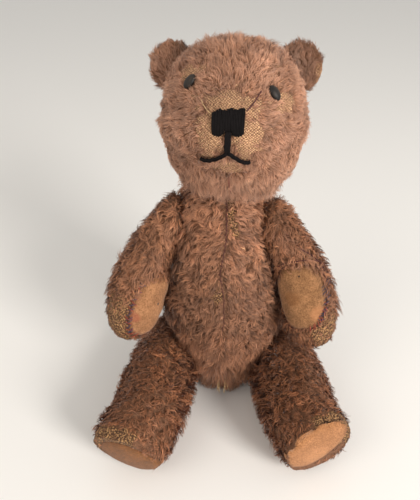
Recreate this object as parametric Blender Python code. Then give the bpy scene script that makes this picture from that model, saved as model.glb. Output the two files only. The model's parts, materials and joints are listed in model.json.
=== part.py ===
"""Threadbare teddy bear: an old disc-jointed mohair bear, seated, with the hardware of its five joints.

Metres, +Z up. The bear sits on z = 0 and faces -Y, so its own left side is at +X.
Every cover is a hollow shell round its stuffing. Its outside is the mean surface of the matted pile.
"""

import math

import bmesh
import bpy
from mathutils import Matrix, Vector

MM = 0.001

# Cloth, felt and the gap kept between pieces that touch
WALL = 1.6 * MM
GAP = 0.3 * MM
FELT_SINK = 0.5 * MM

# Posture
LEAN = math.radians(10)
TORSO_SEAT = Vector((0.0, -0.022, 0.0))
HEAD_YAW = math.radians(-5.5)
HEAD_TILT = math.radians(8)

# Torso, in its own frame: z runs up the spine from the seat
TORSO_BOTTOM, TORSO_TOP = -0.006, 0.207
TORSO_FULLNESS = 2.35
# height, half width, half depth, backward shift
TORSO_STATIONS = (
    (0.000, 0.0380, 0.0440, 0.007),
    (0.040, 0.0455, 0.0480, 0.005),
    (0.085, 0.0535, 0.0495, 0.001),
    (0.130, 0.0525, 0.0470, 0.000),
    (0.165, 0.0510, 0.0445, 0.001),
    (0.200, 0.0540, 0.0440, 0.001),
)

# Joint places in the torso's frame, with x outward, and how far each axis slopes up and turns forward.
# The bear has slumped, so its left shoulder sits lower and closer than its right.
NECK = Vector((0.0, 0.0, 0.190))
SHOULDERS = {
    "left": (Vector((0.0310, -0.009, 0.156)), math.radians(14), math.radians(20)),
    "right": (Vector((0.0365, -0.005, 0.157)), math.radians(15), math.radians(10)),
}
HIPS = {
    "left": (Vector((0.0290, 0.004, 0.0355)), math.radians(-18), math.radians(-5)),
    "right": (Vector((0.0300, 0.004, 0.0355)), math.radians(-18), math.radians(-8)),
}

# Head: a skull with a muzzle drawn out of its front, round HEAD_CENTRE from the neck joint
HEAD_CENTRE = Vector((0.005, -0.0165, 0.0560))
SKULL = Vector((0.0515, 0.0500, 0.0510))
JAW_DEPTH = 0.0590
CROWN_FULLNESS, JAW_FULLNESS = 2.15, 3.1
NECK_SET_BACK = 0.0185
MUZZLE_REACH = 0.0205
MUZZLE_TIP = 0.0650
MUZZLE_DROP = math.radians(8)
MUZZLE_SPREAD = (0.44, 0.37)
EAR_PLACE = Vector((0.0440, 0.0040, 0.0320))
EAR_RADIUS = 0.0170
EAR_THICKNESS = 0.0042
EAR_CUP, EAR_SET_BACK = 5.0 * MM, 2.0 * MM
EAR_TURN = math.radians(12)
EYE_SIZE = Vector((3.6 * MM, 2.6 * MM, 5.2 * MM))
EYES = {"right": (-0.0270, 0.0205), "left": (0.0275, 0.0140)}
NOSE_PLACE = (0.0, -0.0050)
NOSE_SIZE = (0.0100, 0.0080)
NOSE_STAND, NOSE_ROOT = 2.0 * MM, 8.0 * MM
STITCH_RADIUS = 1.1 * MM
STITCHES = {
    "mouth_stem": ((0.0, -0.0135), (0.0, -0.0222)),
    "mouth_right": ((-0.0012, -0.0256), (-0.0062, -0.0286), (-0.0123, -0.0300), (-0.0190, -0.0286)),
    "mouth_left": ((0.0022, -0.0258), (0.0090, -0.0300), (0.0150, -0.0290)),
}

# Limbs hang down z from the joint, x points out from the joint's plane, -y is the front
# height, half thickness, half width, outward centre, backward centre
ARM_TOP, ARM_TIP = 0.0220, -0.1040
ARM_FULLNESS = 2.7
ARM_STATIONS = (
    (-0.104, 0.0255, 0.0240, 0.0265, -0.0050),
    (-0.083, 0.0250, 0.0240, 0.0262, -0.0030),
    (-0.058, 0.0230, 0.0230, 0.0245, 0.0000),
    (-0.028, 0.0205, 0.0230, 0.0195, 0.0010),
    (0.000, 0.0170, 0.0225, 0.0120, 0.0000),
    (0.022, 0.0140, 0.0190, 0.0090, 0.0000),
)
LEG_TOP, LEG_TIP = 0.0295, -0.1390
LEG_SOLE = {"left": -0.1160, "right": -0.1198}
# outward and downward lean of each sole
SOLE_LEAN = {
    "left": (math.radians(13), math.radians(-3)),
    "right": (math.radians(15), math.radians(11)),
}
LEG_FULLNESS = 3.2
LEG_STATIONS = (
    (-0.124, 0.0270, 0.0335, 0.0300, -0.0060),
    (-0.107, 0.0275, 0.0325, 0.0295, -0.0050),
    (-0.085, 0.0285, 0.0295, 0.0290, -0.0010),
    (-0.053, 0.0290, 0.0290, 0.0275, 0.0000),
    (-0.020, 0.0285, 0.0290, 0.0245, 0.0000),
    (0.000, 0.0275, 0.0290, 0.0220, 0.0000),
    (0.028, 0.0255, 0.0275, 0.0200, 0.0000),
)
ARM_SWING = {"left": math.radians(-7), "right": math.radians(-10)}
LEG_SWING = {"left": math.radians(-82), "right": math.radians(-82)}
FOOT_TURN = {"left": math.radians(26), "right": math.radians(45)}
ANKLE, INSTEP = -0.040, -0.095

# Felt pads: half width, half length, height down the limb, and how far the palm turns inward
PAW_PAD = (0.0185, 0.0260)
PAW_PAD_HEIGHT = {"left": -0.0590, "right": -0.0700}
PALM_TURN = {"left": math.radians(2), "right": math.radians(38)}
SOLE_PAD = (0.0220, 0.0285)
SOLE_CENTRE = {"left": (0.0285, -0.0120), "right": (0.0335, 0.0028)}
SOLE_START = 3.5 * MM

# Joint hardware: hardboard disc and steel washer each side of the plane, one split pin through all
DISC_RADIUS = {"neck": 0.0134, "shoulder": 0.0100, "hip": 0.0102}
DISC_THICKNESS = 2.5 * MM
WASHER_RADIUS = 6.2 * MM
WASHER_THICKNESS = 0.8 * MM
PIN_WIRE = 0.7 * MM
PIN_LEG = 0.8 * MM
PIN_HOLE = 1.9 * MM
HOLE_REACH = 6.0 * MM
PLAY = 0.2 * MM

# Facets round and along each closed form
TORSO_GRID, HEAD_GRID, LIMB_GRID = (22, 14), (23, 15), (16, 12)
TORSO_LINING, HEAD_LINING, LIMB_LINING = (13, 9), (16, 11), (12, 8)

SIDES = {"left": 1.0, "right": -1.0}
BEYOND = 0.05  # far enough for a cutter to pass right through

COLOURS = {
    "mohair": (0.42, 0.24, 0.15, 0.95, 0.0),
    "wood_wool": (0.62, 0.48, 0.28, 0.9, 0.0),
    "felt": (0.55, 0.33, 0.16, 0.9, 0.0),
    "black_thread": (0.012, 0.010, 0.010, 0.6, 0.0),
    "boot_button": (0.02, 0.018, 0.017, 0.35, 0.0),
    "hardboard": (0.30, 0.19, 0.11, 0.7, 0.0),
    "steel": (0.45, 0.44, 0.42, 0.4, 1.0),
}


def clear_scene():
    for obj in list(bpy.data.objects):
        bpy.data.objects.remove(obj, do_unlink=True)


def finish_named(slot):
    """The Principled material of one finish, made once."""
    if slot in bpy.data.materials:
        return bpy.data.materials[slot]
    red, green, blue, roughness, metallic = COLOURS[slot]
    material = bpy.data.materials.new(slot)
    material.use_nodes = True
    shader = material.node_tree.nodes["Principled BSDF"]
    shader.inputs["Base Color"].default_value = (red, green, blue, 1.0)
    shader.inputs["Roughness"].default_value = roughness
    shader.inputs["Metallic"].default_value = metallic
    return material


def frame(name, parent, matrix):
    """An empty that carries the pieces of one body."""
    empty = bpy.data.objects.new(name, None)
    bpy.context.scene.collection.objects.link(empty)
    empty.parent = parent
    empty.location = matrix.translation
    empty.rotation_euler = matrix.to_euler()
    return empty


def piece(name, form, slot, parent):
    """A named solid from a bmesh, on its body's frame."""
    bmesh.ops.recalc_face_normals(form, faces=form.faces)
    mesh = bpy.data.meshes.new(name)
    form.to_mesh(mesh)
    form.free()
    mesh.shade_smooth()
    mesh.set_sharp_from_angle(angle=math.radians(40))
    obj = bpy.data.objects.new(name, mesh)
    mesh.materials.append(finish_named(slot))
    bpy.context.scene.collection.objects.link(obj)
    obj.parent = parent
    return obj


def cutter(name, form, parent):
    """A helper solid that only shapes others."""
    obj = piece(name, form, "hardboard", parent)
    obj.hide_render = True
    obj.display_type = "WIRE"
    return obj


def combine(obj, other, operation):
    modifier = obj.modifiers.new(operation.lower() + "_" + other.name, "BOOLEAN")
    modifier.operation = operation
    modifier.solver = "EXACT"
    modifier.object = other


def between(stations, height):
    """The values at a height, on a smooth curve through the stations."""
    low = 0
    while low < len(stations) - 2 and height > stations[low + 1][0]:
        low += 1
    rows = [stations[min(max(low + i, 0), len(stations) - 1)] for i in (-1, 0, 1, 2)]
    start, end = rows[1][0], rows[2][0]
    t = min(max((height - start) / (end - start), 0.0), 1.0)
    values = []
    for before, first, second, after in zip(*[row[1:] for row in rows]):
        lift = (second - before) / 2, (after - first) / 2
        values.append(
            first * (2 * t**3 - 3 * t**2 + 1)
            + second * (3 * t**2 - 2 * t**3)
            + lift[0] * (t**3 - 2 * t**2 + t)
            + lift[1] * (t**3 - t**2)
        )
    return values


def sausage(point, low, high, fullness):
    """A point of the unit sphere as (x, y) of a unit section, and a height between low and high."""
    height = low + (high - low) * (point.z + 1) / 2
    round_end = math.sqrt(max(1 - point.z**2, 1e-9))
    full_end = max(1 - abs(point.z) ** fullness, 0.0) ** (1 / fullness)
    return point.x * full_end / round_end, point.y * full_end / round_end, height


def torso_shape(point):
    across, along, height = sausage(point, TORSO_BOTTOM, TORSO_TOP, TORSO_FULLNESS)
    width, depth, back = between(TORSO_STATIONS, height)
    return Vector((across * width, along * depth + back, height))


def arm_shape(point):
    """The left arm; the right one is its mirror image."""
    across, along, height = sausage(point, ARM_TIP, ARM_TOP, ARM_FULLNESS)
    thick, wide, out, back = between(ARM_STATIONS, height)
    return Vector((across * thick + out, along * wide + back, height))


def turned(height, turn):
    """How far the foot has turned outward at this height down the leg."""
    t = min(max((height - ANKLE) / (INSTEP - ANKLE), 0.0), 1.0)
    return turn * t * t * (3 - 2 * t)


def leg_shape(side):
    """A leg as the left one would be, with this side's turn of the foot."""

    def shape(point):
        across, along, height = sausage(point, LEG_TIP, LEG_TOP, LEG_FULLNESS)
        thick, wide, out, back = between(LEG_STATIONS, height)
        turn = turned(height, FOOT_TURN[side])
        x, y = across * thick, along * wide + back
        x, y = x * math.cos(turn) - y * math.sin(turn), x * math.sin(turn) + y * math.cos(turn)
        return Vector((x + out, y, height))

    return shape


def head_reach(direction):
    """The head's radius along a unit direction from its centre."""
    lower = direction.z < 0
    power = JAW_FULLNESS if lower else CROWN_FULLNESS
    sizes = (SKULL.x, SKULL.y, JAW_DEPTH if lower else SKULL.z)
    skull = sum(abs(d / s) ** power for d, s in zip(direction, sizes)) ** (-1 / power)
    muzzle = Vector((0, -math.cos(MUZZLE_DROP), -math.sin(MUZZLE_DROP)))
    ahead = direction.dot(muzzle)
    if ahead <= 0:
        return skull
    rest = direction - ahead * muzzle
    spread = Vector((rest.x / MUZZLE_SPREAD[0], rest.z / MUZZLE_SPREAD[1])).length
    return skull + MUZZLE_REACH * ahead**0.5 / (1 + spread**4)


def head_point(direction):
    """The point of the head's surface in a unit direction, with the underside drawn back over the neck."""
    spot = direction * head_reach(direction)
    if spot.z < 0:
        spot.y += NECK_SET_BACK * (spot.z / JAW_DEPTH) ** 2
    return spot


def head_turn():
    return Matrix.Rotation(-HEAD_TILT, 3, "X")


def head_shape(point):
    """The pole of the sphere is the muzzle's tip, so the facets are smallest on the face."""
    direction = Vector((point.x, -point.z, point.y)).normalized()
    return HEAD_CENTRE + head_turn() @ head_point(direction)


def face_point(place, stand=0.0):
    """The point of the face at (across, up) from the head's centre, and the way out of it there."""
    across, up = place
    direction = Vector((across, -MUZZLE_TIP, up)).normalized()
    for _ in range(8):
        reach = head_reach(direction)
        depth = math.sqrt(max(reach**2 - across**2 - up**2, 1e-8))
        direction = Vector((across, -depth, up)).normalized()
    step = 0.02
    sides = [
        (direction + Vector(offset)).normalized()
        for offset in ((step, 0, 0), (0, 0, step), (-step, 0, 0), (0, 0, -step))
    ]
    ends = [head_point(d) for d in sides]
    out = (ends[0] - ends[2]).cross(ends[1] - ends[3]).normalized()
    if out.y > 0:
        out.negate()
    spot = head_point(direction) + out * stand
    return HEAD_CENTRE + head_turn() @ spot, head_turn() @ out


def body_form(shape, grid, inset, planes, out=1.0):
    """A closed form drawn in by inset, mirrored where out is -1, and cut flat on each plane drawn in alike."""
    form = bmesh.new()
    bmesh.ops.create_uvsphere(form, u_segments=grid[0], v_segments=grid[1], radius=1.0)
    bmesh.ops.triangulate(form, faces=form.faces, quad_method="FIXED")
    for vert in form.verts:
        vert.co = shape(vert.co.normalized())
    bmesh.ops.recalc_face_normals(form, faces=form.faces)
    form.normal_update()
    moved = [v.co - v.normal * inset * min(v.calc_shell_factor(), 1.3) for v in form.verts]
    for vert, place in zip(form.verts, moved):
        vert.co = place
    if out < 0:
        bmesh.ops.scale(form, vec=(-1, 1, 1), verts=form.verts)
        bmesh.ops.reverse_faces(form, faces=form.faces)
    for place, normal in planes:
        everything = form.verts[:] + form.edges[:] + form.faces[:]
        bmesh.ops.bisect_plane(
            form,
            geom=everything,
            plane_co=place - normal * inset,
            plane_no=normal,
            clear_outer=True,
        )
        bmesh.ops.holes_fill(form, edges=[e for e in form.edges if e.is_boundary])
    return form


def rod(radius, start, end, sides):
    """A round bar along x."""
    form = bmesh.new()
    bmesh.ops.create_cone(
        form, cap_ends=True, segments=sides, radius1=radius, radius2=radius, depth=end - start
    )
    turn = Matrix.Rotation(math.pi / 2, 4, "Y")
    bmesh.ops.transform(form, matrix=turn, verts=form.verts)
    bmesh.ops.translate(form, vec=((start + end) / 2, 0, 0), verts=form.verts)
    return form


def ring_plate(inner, outer, start, end, steps):
    """A flat ring about the x axis."""
    form = bmesh.new()
    corners = [(start, inner), (end, inner), (end, outer), (start, outer)]
    verts = [form.verts.new((x, 0, r)) for x, r in corners]
    edges = [form.edges.new((verts[i], verts[(i + 1) % 4])) for i in range(4)]
    bmesh.ops.spin(
        form,
        geom=edges,
        cent=(0, 0, 0),
        axis=(1, 0, 0),
        angle=2 * math.pi,
        steps=steps,
        use_merge=True,
    )
    bmesh.ops.remove_doubles(form, verts=form.verts, dist=1e-6)
    return form


def oval_block(half_width, half_length, reach, squareness, sides):
    """An oval prism that runs from z = 0 to z = reach."""
    form = bmesh.new()
    bmesh.ops.create_circle(form, cap_ends=True, segments=sides, radius=1.0)
    for vert in form.verts:
        fit = (abs(vert.co.x) ** squareness + abs(vert.co.y) ** squareness) ** (1 / squareness)
        vert.co = Vector((vert.co.x / fit * half_width, vert.co.y / fit * half_length, 0))
    rise = bmesh.ops.extrude_face_region(form, geom=form.faces[:])
    top = [item for item in rise["geom"] if isinstance(item, bmesh.types.BMVert)]
    bmesh.ops.translate(form, vec=(0, 0, reach), verts=top)
    return form


def pointing(normal, up, place):
    """A frame at place whose z is the normal and whose y lies near up."""
    across = up.cross(normal).normalized()
    along = normal.cross(across)
    return Matrix.Translation(place) @ Matrix((across, along, normal)).transposed().to_4x4()


# ---- The hardware of one joint -------------------------------------------------


def stack_places(flip):
    """Where disc and washer start and end along the axis, on the side of the plane that flip gives."""
    disc = PLAY + WALL + GAP
    washer = disc + DISC_THICKNESS + GAP
    spans = (disc, disc + DISC_THICKNESS), (washer, washer + WASHER_THICKNESS)
    return [tuple(sorted((flip * low, flip * high))) for low, high in spans]


def pin_room():
    """How deep the hardware reaches from the joint's plane on either side."""
    return PLAY + WALL + DISC_THICKNESS + WASHER_THICKNESS + 4 * GAP + 5.0 * MM


def split_pin(name, out, parent):
    """One wire doubled back on itself: an eye outside the limb's washer, and legs curled inside."""
    seat = stack_places(1)[1][1] + GAP
    eye = ((seat + 0.5 * MM, PIN_LEG), (seat + 1.6 * MM, 2.2 * MM), (seat + 3.4 * MM, 1.9 * MM))
    tail = (
        (-seat - 0.3 * MM, PIN_LEG),
        (-seat - 2.4 * MM, 2.0 * MM),
        (-seat - 2.5 * MM, 3.9 * MM),
        (-seat - 0.8 * MM, 5.0 * MM),
    )
    half = tail[::-1] + eye
    crown = ((seat + 4.1 * MM, 0.0),)
    route = half + crown + tuple((u, -v) for u, v in half[::-1])
    curve = bpy.data.curves.new(name, "CURVE")
    curve.dimensions = "3D"
    curve.bevel_depth = PIN_WIRE
    curve.bevel_resolution = 1
    curve.use_fill_caps = True
    spline = curve.splines.new("POLY")
    spline.points.add(len(route) - 1)
    for point, (u, v) in zip(spline.points, route):
        point.co = (out * u, v, 0.0, 1.0)
    obj = bpy.data.objects.new(name, curve)
    curve.materials.append(finish_named("steel"))
    bpy.context.scene.collection.objects.link(obj)
    obj.parent = parent
    return obj


def joint_hardware(name, kind, out, torso_side, limb_side):
    """Discs and washers either side of the plane, and the pin, on frames whose x is the axis."""
    for carrier, owner, flip in ((torso_side, "body", -out), (limb_side, kind, out)):
        disc, washer = stack_places(flip)
        plate = ring_plate(PIN_HOLE, DISC_RADIUS[kind], *disc, steps=12)
        piece(f"{name}_disc_{place_word(owner)}", plate, "hardboard", carrier)
        plate = ring_plate(PIN_HOLE, WASHER_RADIUS, *washer, steps=8)
        piece(f"{name}_washer_{place_word(owner)}", plate, "steel", carrier)
    split_pin(f"{name}_split_pin", out, limb_side)


def place_word(owner):
    return {"body": "in_body", "neck": "in_head", "shoulder": "in_arm", "hip": "in_leg"}[owner]


def hollow(cover, stuffing, joints):
    """Pin holes through a cover, and room for the hardware in its stuffing."""
    for name, kind, carrier in joints:
        hole = cutter(f"cut_hole_{name}_{cover.name}", rod(PIN_HOLE, -HOLE_REACH, HOLE_REACH, 12), carrier)
        combine(cover, hole, "DIFFERENCE")
        reach = pin_room()
        room = cutter(
            f"cut_room_{name}_{cover.name}",
            rod(DISC_RADIUS[kind] + GAP, -reach, reach, 16),
            carrier,
        )
        combine(stuffing, room, "DIFFERENCE")


# ---- Sub-parts -----------------------------------------------------------------


def covered(name, shape, grids, planes, parent, out=1.0):
    """A cover with its stuffing, and the cutter of its lining."""
    outside = body_form(shape, grids[0], 0.0, planes, out)
    cover = piece(f"{name}_cover", outside, "mohair", parent)
    inside = body_form(shape, grids[1], WALL, planes, out)
    lining = cutter(f"cut_lining_{name}", inside, parent)
    combine(cover, lining, "DIFFERENCE")
    filling = body_form(shape, grids[1], WALL + GAP, planes, out)
    stuffing = piece(f"{name}_stuffing", filling, "wood_wool", parent)
    return cover, stuffing, lining


def pad_on(name, limb, outside, spot, size, parent):
    """A felt pad of a half width and half length, let into an opening of the limb's cover at spot."""
    cover, _, lining = limb
    half_width, half_length = size
    hole = oval_block(half_width + GAP, half_length + GAP, BEYOND, 2.2, 16)
    bmesh.ops.transform(hole, matrix=spot, verts=hole.verts)
    combine(cover, cutter(f"cut_opening_{name}", hole, parent), "DIFFERENCE")
    felt = oval_block(half_width, half_length, BEYOND, 2.2, 16)
    bmesh.ops.transform(felt, matrix=spot, verts=felt.verts)
    pad = piece(name, felt, "felt", parent)
    combine(pad, cutter(f"cut_face_{name}", outside, parent), "INTERSECT")
    combine(pad, lining, "DIFFERENCE")


def make_arm(side, joint):
    out = SIDES[side]
    planes = [(Vector((out * PLAY, 0, 0)), Vector((-out, 0, 0)))]
    arm = covered(f"{side}_arm", arm_shape, (LIMB_GRID, LIMB_LINING), planes, joint, out)
    turn, height = PALM_TURN[side], PAW_PAD_HEIGHT[side]
    _, _, middle, back = between(ARM_STATIONS, height)
    palm = Vector((-out * math.sin(turn), -math.cos(turn), 0))
    spot = pointing(palm, Vector((0, 0, 1)), Vector((out * middle, back, height)))
    outside = body_form(arm_shape, LIMB_GRID, FELT_SINK, planes, out)
    pad_on(f"{side}_paw_pad", arm, outside, spot, PAW_PAD, joint)
    return arm


def make_leg(side, joint, floor):
    shape = leg_shape(side)
    out = SIDES[side]
    turn, (outward, downward) = FOOT_TURN[side], SOLE_LEAN[side]
    toe = Vector((out * math.sin(turn), -math.cos(turn), 0))
    across, back = SOLE_CENTRE[side]
    sole = Vector((out * across, back, LEG_SOLE[side]))
    down = Vector((out * math.tan(outward), math.tan(downward), -1)).normalized()
    planes = [(Vector((out * PLAY, 0, 0)), Vector((-out, 0, 0))), (sole, down), floor]
    leg = covered(f"{side}_leg", shape, (LIMB_GRID, LIMB_LINING), planes, joint, out)
    spot = pointing(down, toe, sole - down * SOLE_START)
    outside = body_form(shape, LIMB_GRID, FELT_SINK, planes, out)
    pad_on(f"{side}_foot_pad", leg, outside, spot, SOLE_PAD, joint)
    return leg


def make_ear(side, skin, head):
    """A cupped round ear, cut to sit on the head."""
    form = bmesh.new()
    bmesh.ops.create_uvsphere(form, u_segments=16, v_segments=8, radius=1.0)
    for vert in form.verts:
        edge = vert.co.x**2 + vert.co.y**2
        cup = EAR_CUP * edge
        vert.co = Vector(
            (
                vert.co.x * EAR_RADIUS,
                vert.co.z * EAR_THICKNESS - cup + EAR_SET_BACK,
                vert.co.y * EAR_RADIUS,
            )
        )
    place = Vector((SIDES[side] * EAR_PLACE.x, EAR_PLACE.y, EAR_PLACE.z))
    turn = Matrix.Rotation(SIDES[side] * EAR_TURN, 4, "Z")
    place = Matrix.Translation(HEAD_CENTRE) @ head_turn().to_4x4() @ Matrix.Translation(place)
    bmesh.ops.transform(form, matrix=place @ turn, verts=form.verts)
    ear = piece(f"{side}_ear", form, "mohair", head)
    combine(ear, skin, "DIFFERENCE")


def make_eye(side, skin, head):
    place, out = face_point(EYES[side])
    form = bmesh.new()
    bmesh.ops.create_uvsphere(form, u_segments=12, v_segments=8, radius=1.0)
    bmesh.ops.scale(form, vec=(EYE_SIZE.x, EYE_SIZE.z, EYE_SIZE.y), verts=form.verts)
    bmesh.ops.transform(form, matrix=pointing(out, Vector((0, 0, 1)), place), verts=form.verts)
    eye = piece(f"{side}_eye", form, "boot_button", head)
    combine(eye, skin, "DIFFERENCE")


def make_nose(skin, head):
    """A block of satin stitches, standing proud of the muzzle."""
    place, out = face_point(NOSE_PLACE)
    form = oval_block(*NOSE_SIZE, NOSE_ROOT + BEYOND, 3.0, 20)
    spot = pointing(out, Vector((0, 0, 1)), place - out * NOSE_ROOT)
    bmesh.ops.transform(form, matrix=spot, verts=form.verts)
    nose = piece("nose_stitching", form, "black_thread", head)
    crown = cutter("cut_nose_crown", body_form(head_shape, HEAD_GRID, -NOSE_STAND, []), head)
    combine(nose, crown, "INTERSECT")
    combine(nose, skin, "DIFFERENCE")


def make_stitch(name, places, head):
    """A long stitch that lies on the face."""
    route = [face_point(place, STITCH_RADIUS + 1.5 * GAP)[0] for place in places]
    curve = bpy.data.curves.new(name, "CURVE")
    curve.dimensions = "3D"
    curve.bevel_depth = STITCH_RADIUS
    curve.bevel_resolution = 2
    curve.use_fill_caps = True
    spline = curve.splines.new("POLY")
    spline.points.add(len(route) - 1)
    for point, place in zip(spline.points, route):
        point.co = (*place, 1.0)
    obj = bpy.data.objects.new(name, curve)
    curve.materials.append(finish_named("black_thread"))
    bpy.context.scene.collection.objects.link(obj)
    obj.parent = head


def make_head(head):
    neck_plane = (Vector((0, 0, PLAY)), Vector((0, 0, -1)))
    grids = HEAD_GRID, HEAD_LINING
    cover, stuffing, _ = covered("head", head_shape, grids, [neck_plane], head)
    skin = cutter("cut_head_skin", body_form(head_shape, HEAD_GRID, -GAP, []), head)
    for side in SIDES:
        make_ear(side, skin, head)
        make_eye(side, skin, head)
    make_nose(skin, head)
    for name, places in STITCHES.items():
        make_stitch(f"{name}_stitch", places, head)
    return cover, stuffing


def joint_frames():
    """Each joint's matrix in the torso's frame, with x along its axis for the limbs and z for the neck."""
    found = {"neck": Matrix.Translation(NECK)}
    for side, out in SIDES.items():
        for name, table in (("shoulder", SHOULDERS), ("hip", HIPS)):
            place, slope, yaw = table[side]
            spot = Vector((out * place.x, place.y, place.z))
            turn = Matrix.Rotation(-out * yaw, 4, "Z") @ Matrix.Rotation(-out * slope, 4, "Y")
            found[f"{side}_{name}"] = Matrix.Translation(spot) @ turn
    return found


def torso_planes(frames, seat):
    """The flats where the head, the limbs and the seat press on the torso."""
    planes = [(NECK - Vector((0, 0, PLAY)), Vector((0, 0, 1))), seat]
    for side, out in SIDES.items():
        for joint in ("shoulder", "hip"):
            matrix = frames[f"{side}_{joint}"]
            axis = matrix.to_3x3() @ Vector((out, 0, 0))
            planes.append((matrix.translation - axis * PLAY, axis))
    return planes


def floor_in(matrix):
    """The table's plane seen from a frame, as (point, downward normal)."""
    back = matrix.inverted()
    return back.translation, back.to_3x3() @ Vector((0, 0, -1))


def centre_on_origin(stand):
    """Moves the whole bear so that the middle of its box is above the origin."""
    bpy.context.view_layer.update()
    graph = bpy.context.evaluated_depsgraph_get()
    corners = []
    for obj in bpy.data.objects:
        if obj.type in ("MESH", "CURVE") and not obj.hide_render:
            shape = obj.evaluated_get(graph)
            mesh = shape.to_mesh()
            corners += [shape.matrix_world @ v.co for v in mesh.vertices]
            shape.to_mesh_clear()
    for axis in (0, 1):
        values = [corner[axis] for corner in corners]
        stand.location[axis] = -(min(values) + max(values)) / 2


def build():
    clear_scene()
    stand = frame("bear", None, Matrix.Identity(4))
    torso_place = Matrix.Translation(TORSO_SEAT) @ Matrix.Rotation(-LEAN, 4, "X")
    torso = frame("torso", stand, torso_place)
    frames = joint_frames()
    seat = floor_in(torso_place)
    planes = torso_planes(frames, seat)
    grids = TORSO_GRID, TORSO_LINING
    cover, stuffing, _ = covered("body", torso_shape, grids, planes, torso)

    upright = Matrix.Rotation(-math.pi / 2, 4, "Y")
    neck_fixed = frame("neck_axis", torso, frames["neck"] @ upright)
    head = frame("neck_joint", torso, frames["neck"] @ Matrix.Rotation(HEAD_YAW, 4, "Z"))
    neck_moving = frame("neck_axis_in_head", head, upright)
    head_cover, head_stuffing = make_head(head)
    joint_hardware("neck", "neck", 1.0, neck_fixed, neck_moving)
    hollow(head_cover, head_stuffing, [("neck", "neck", neck_moving)])
    rooms = [("neck", "neck", neck_fixed)]

    for side, out in SIDES.items():
        for kind, swings in (("shoulder", ARM_SWING), ("hip", LEG_SWING)):
            name = f"{side}_{kind}"
            fixed = frame(f"{name}_seat", torso, frames[name])
            turned_frame = frames[name] @ Matrix.Rotation(swings[side], 4, "X")
            moving = frame(f"{name}_joint", torso, turned_frame)
            if kind == "shoulder":
                limb = make_arm(side, moving)
            else:
                limb = make_leg(side, moving, floor_in(torso_place @ turned_frame))
            joint_hardware(name, kind, out, fixed, moving)
            hollow(limb[0], limb[1], [(name, kind, moving)])
            rooms.append((name, kind, fixed))
    hollow(cover, stuffing, rooms)
    centre_on_origin(stand)


build()
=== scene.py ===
"""An old jointed teddy bear, seated: worn mohair pile on a woven backing, felt pads and a stitched face."""

import json
import math
from functools import cached_property
from math import radians

import bmesh
import bpy
import numpy as np
from mathutils import Matrix, Vector
from mathutils.bvhtree import BVHTree
from mathutils.kdtree import KDTree


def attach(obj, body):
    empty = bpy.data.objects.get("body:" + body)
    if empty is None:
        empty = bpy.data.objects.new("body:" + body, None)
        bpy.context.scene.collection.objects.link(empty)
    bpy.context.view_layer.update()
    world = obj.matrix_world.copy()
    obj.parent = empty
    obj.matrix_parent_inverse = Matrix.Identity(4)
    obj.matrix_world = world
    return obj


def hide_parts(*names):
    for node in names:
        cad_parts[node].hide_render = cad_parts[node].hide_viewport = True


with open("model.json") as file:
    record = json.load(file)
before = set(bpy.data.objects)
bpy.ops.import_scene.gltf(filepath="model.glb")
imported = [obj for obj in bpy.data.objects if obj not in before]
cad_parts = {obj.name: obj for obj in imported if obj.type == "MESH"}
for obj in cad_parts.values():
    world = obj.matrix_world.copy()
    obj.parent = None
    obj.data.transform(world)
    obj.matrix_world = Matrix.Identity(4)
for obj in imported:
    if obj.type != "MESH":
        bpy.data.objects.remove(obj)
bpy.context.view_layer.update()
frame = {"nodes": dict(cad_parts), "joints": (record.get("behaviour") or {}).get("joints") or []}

MM = 0.001
SIDES = {"left": 1.0, "right": -1.0}

# ---- The bear's forms, as in its solids --------------------------------------------------

LEAN = radians(10)
TORSO_SEAT = Vector((0, -0.022, 0))
HEAD_YAW, HEAD_TILT = radians(-5.5), radians(8)
PLAY = 0.2 * MM
TORSO_BOTTOM, TORSO_TOP = -0.006, 0.207
TORSO_FULLNESS = 2.35
# height, half width, half depth, backward shift
TORSO_STATIONS = (
    (0.000, 0.0380, 0.0440, 0.007),
    (0.040, 0.0455, 0.0480, 0.005),
    (0.085, 0.0535, 0.0495, 0.001),
    (0.130, 0.0525, 0.0470, 0.000),
    (0.165, 0.0510, 0.0445, 0.001),
    (0.200, 0.0540, 0.0440, 0.001),
)
NECK = Vector((0.0, 0.0, 0.190))
SHOULDERS = {
    "left": (Vector((0.0310, -0.009, 0.156)), radians(14), radians(20)),
    "right": (Vector((0.0365, -0.005, 0.157)), radians(15), radians(10)),
}
HIPS = {
    "left": (Vector((0.0290, 0.004, 0.0355)), radians(-18), radians(-5)),
    "right": (Vector((0.0300, 0.004, 0.0355)), radians(-18), radians(-8)),
}
HEAD_CENTRE = Vector((0.005, -0.0165, 0.0560))
SKULL = Vector((0.0515, 0.0500, 0.0510))
JAW_DEPTH = 0.0590
CROWN_FULLNESS, JAW_FULLNESS = 2.15, 3.1
NECK_SET_BACK = 0.0185
MUZZLE_REACH, MUZZLE_TIP = 0.0205, 0.0650
MUZZLE_DROP = radians(8)
MUZZLE_SPREAD = (0.44, 0.37)
EAR_PLACE = Vector((0.0440, 0.0040, 0.0320))
EAR_RADIUS, EAR_THICKNESS = 0.0162, 0.0034
EAR_CUP, EAR_SET_BACK = 8.0 * MM, 3.0 * MM
EAR_TURN = radians(12)
EYE_SIZE = Vector((3.6 * MM, 2.4 * MM, 5.3 * MM))
EYES = {"right": (-0.0270, 0.0205), "left": (0.0275, 0.0140)}
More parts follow.
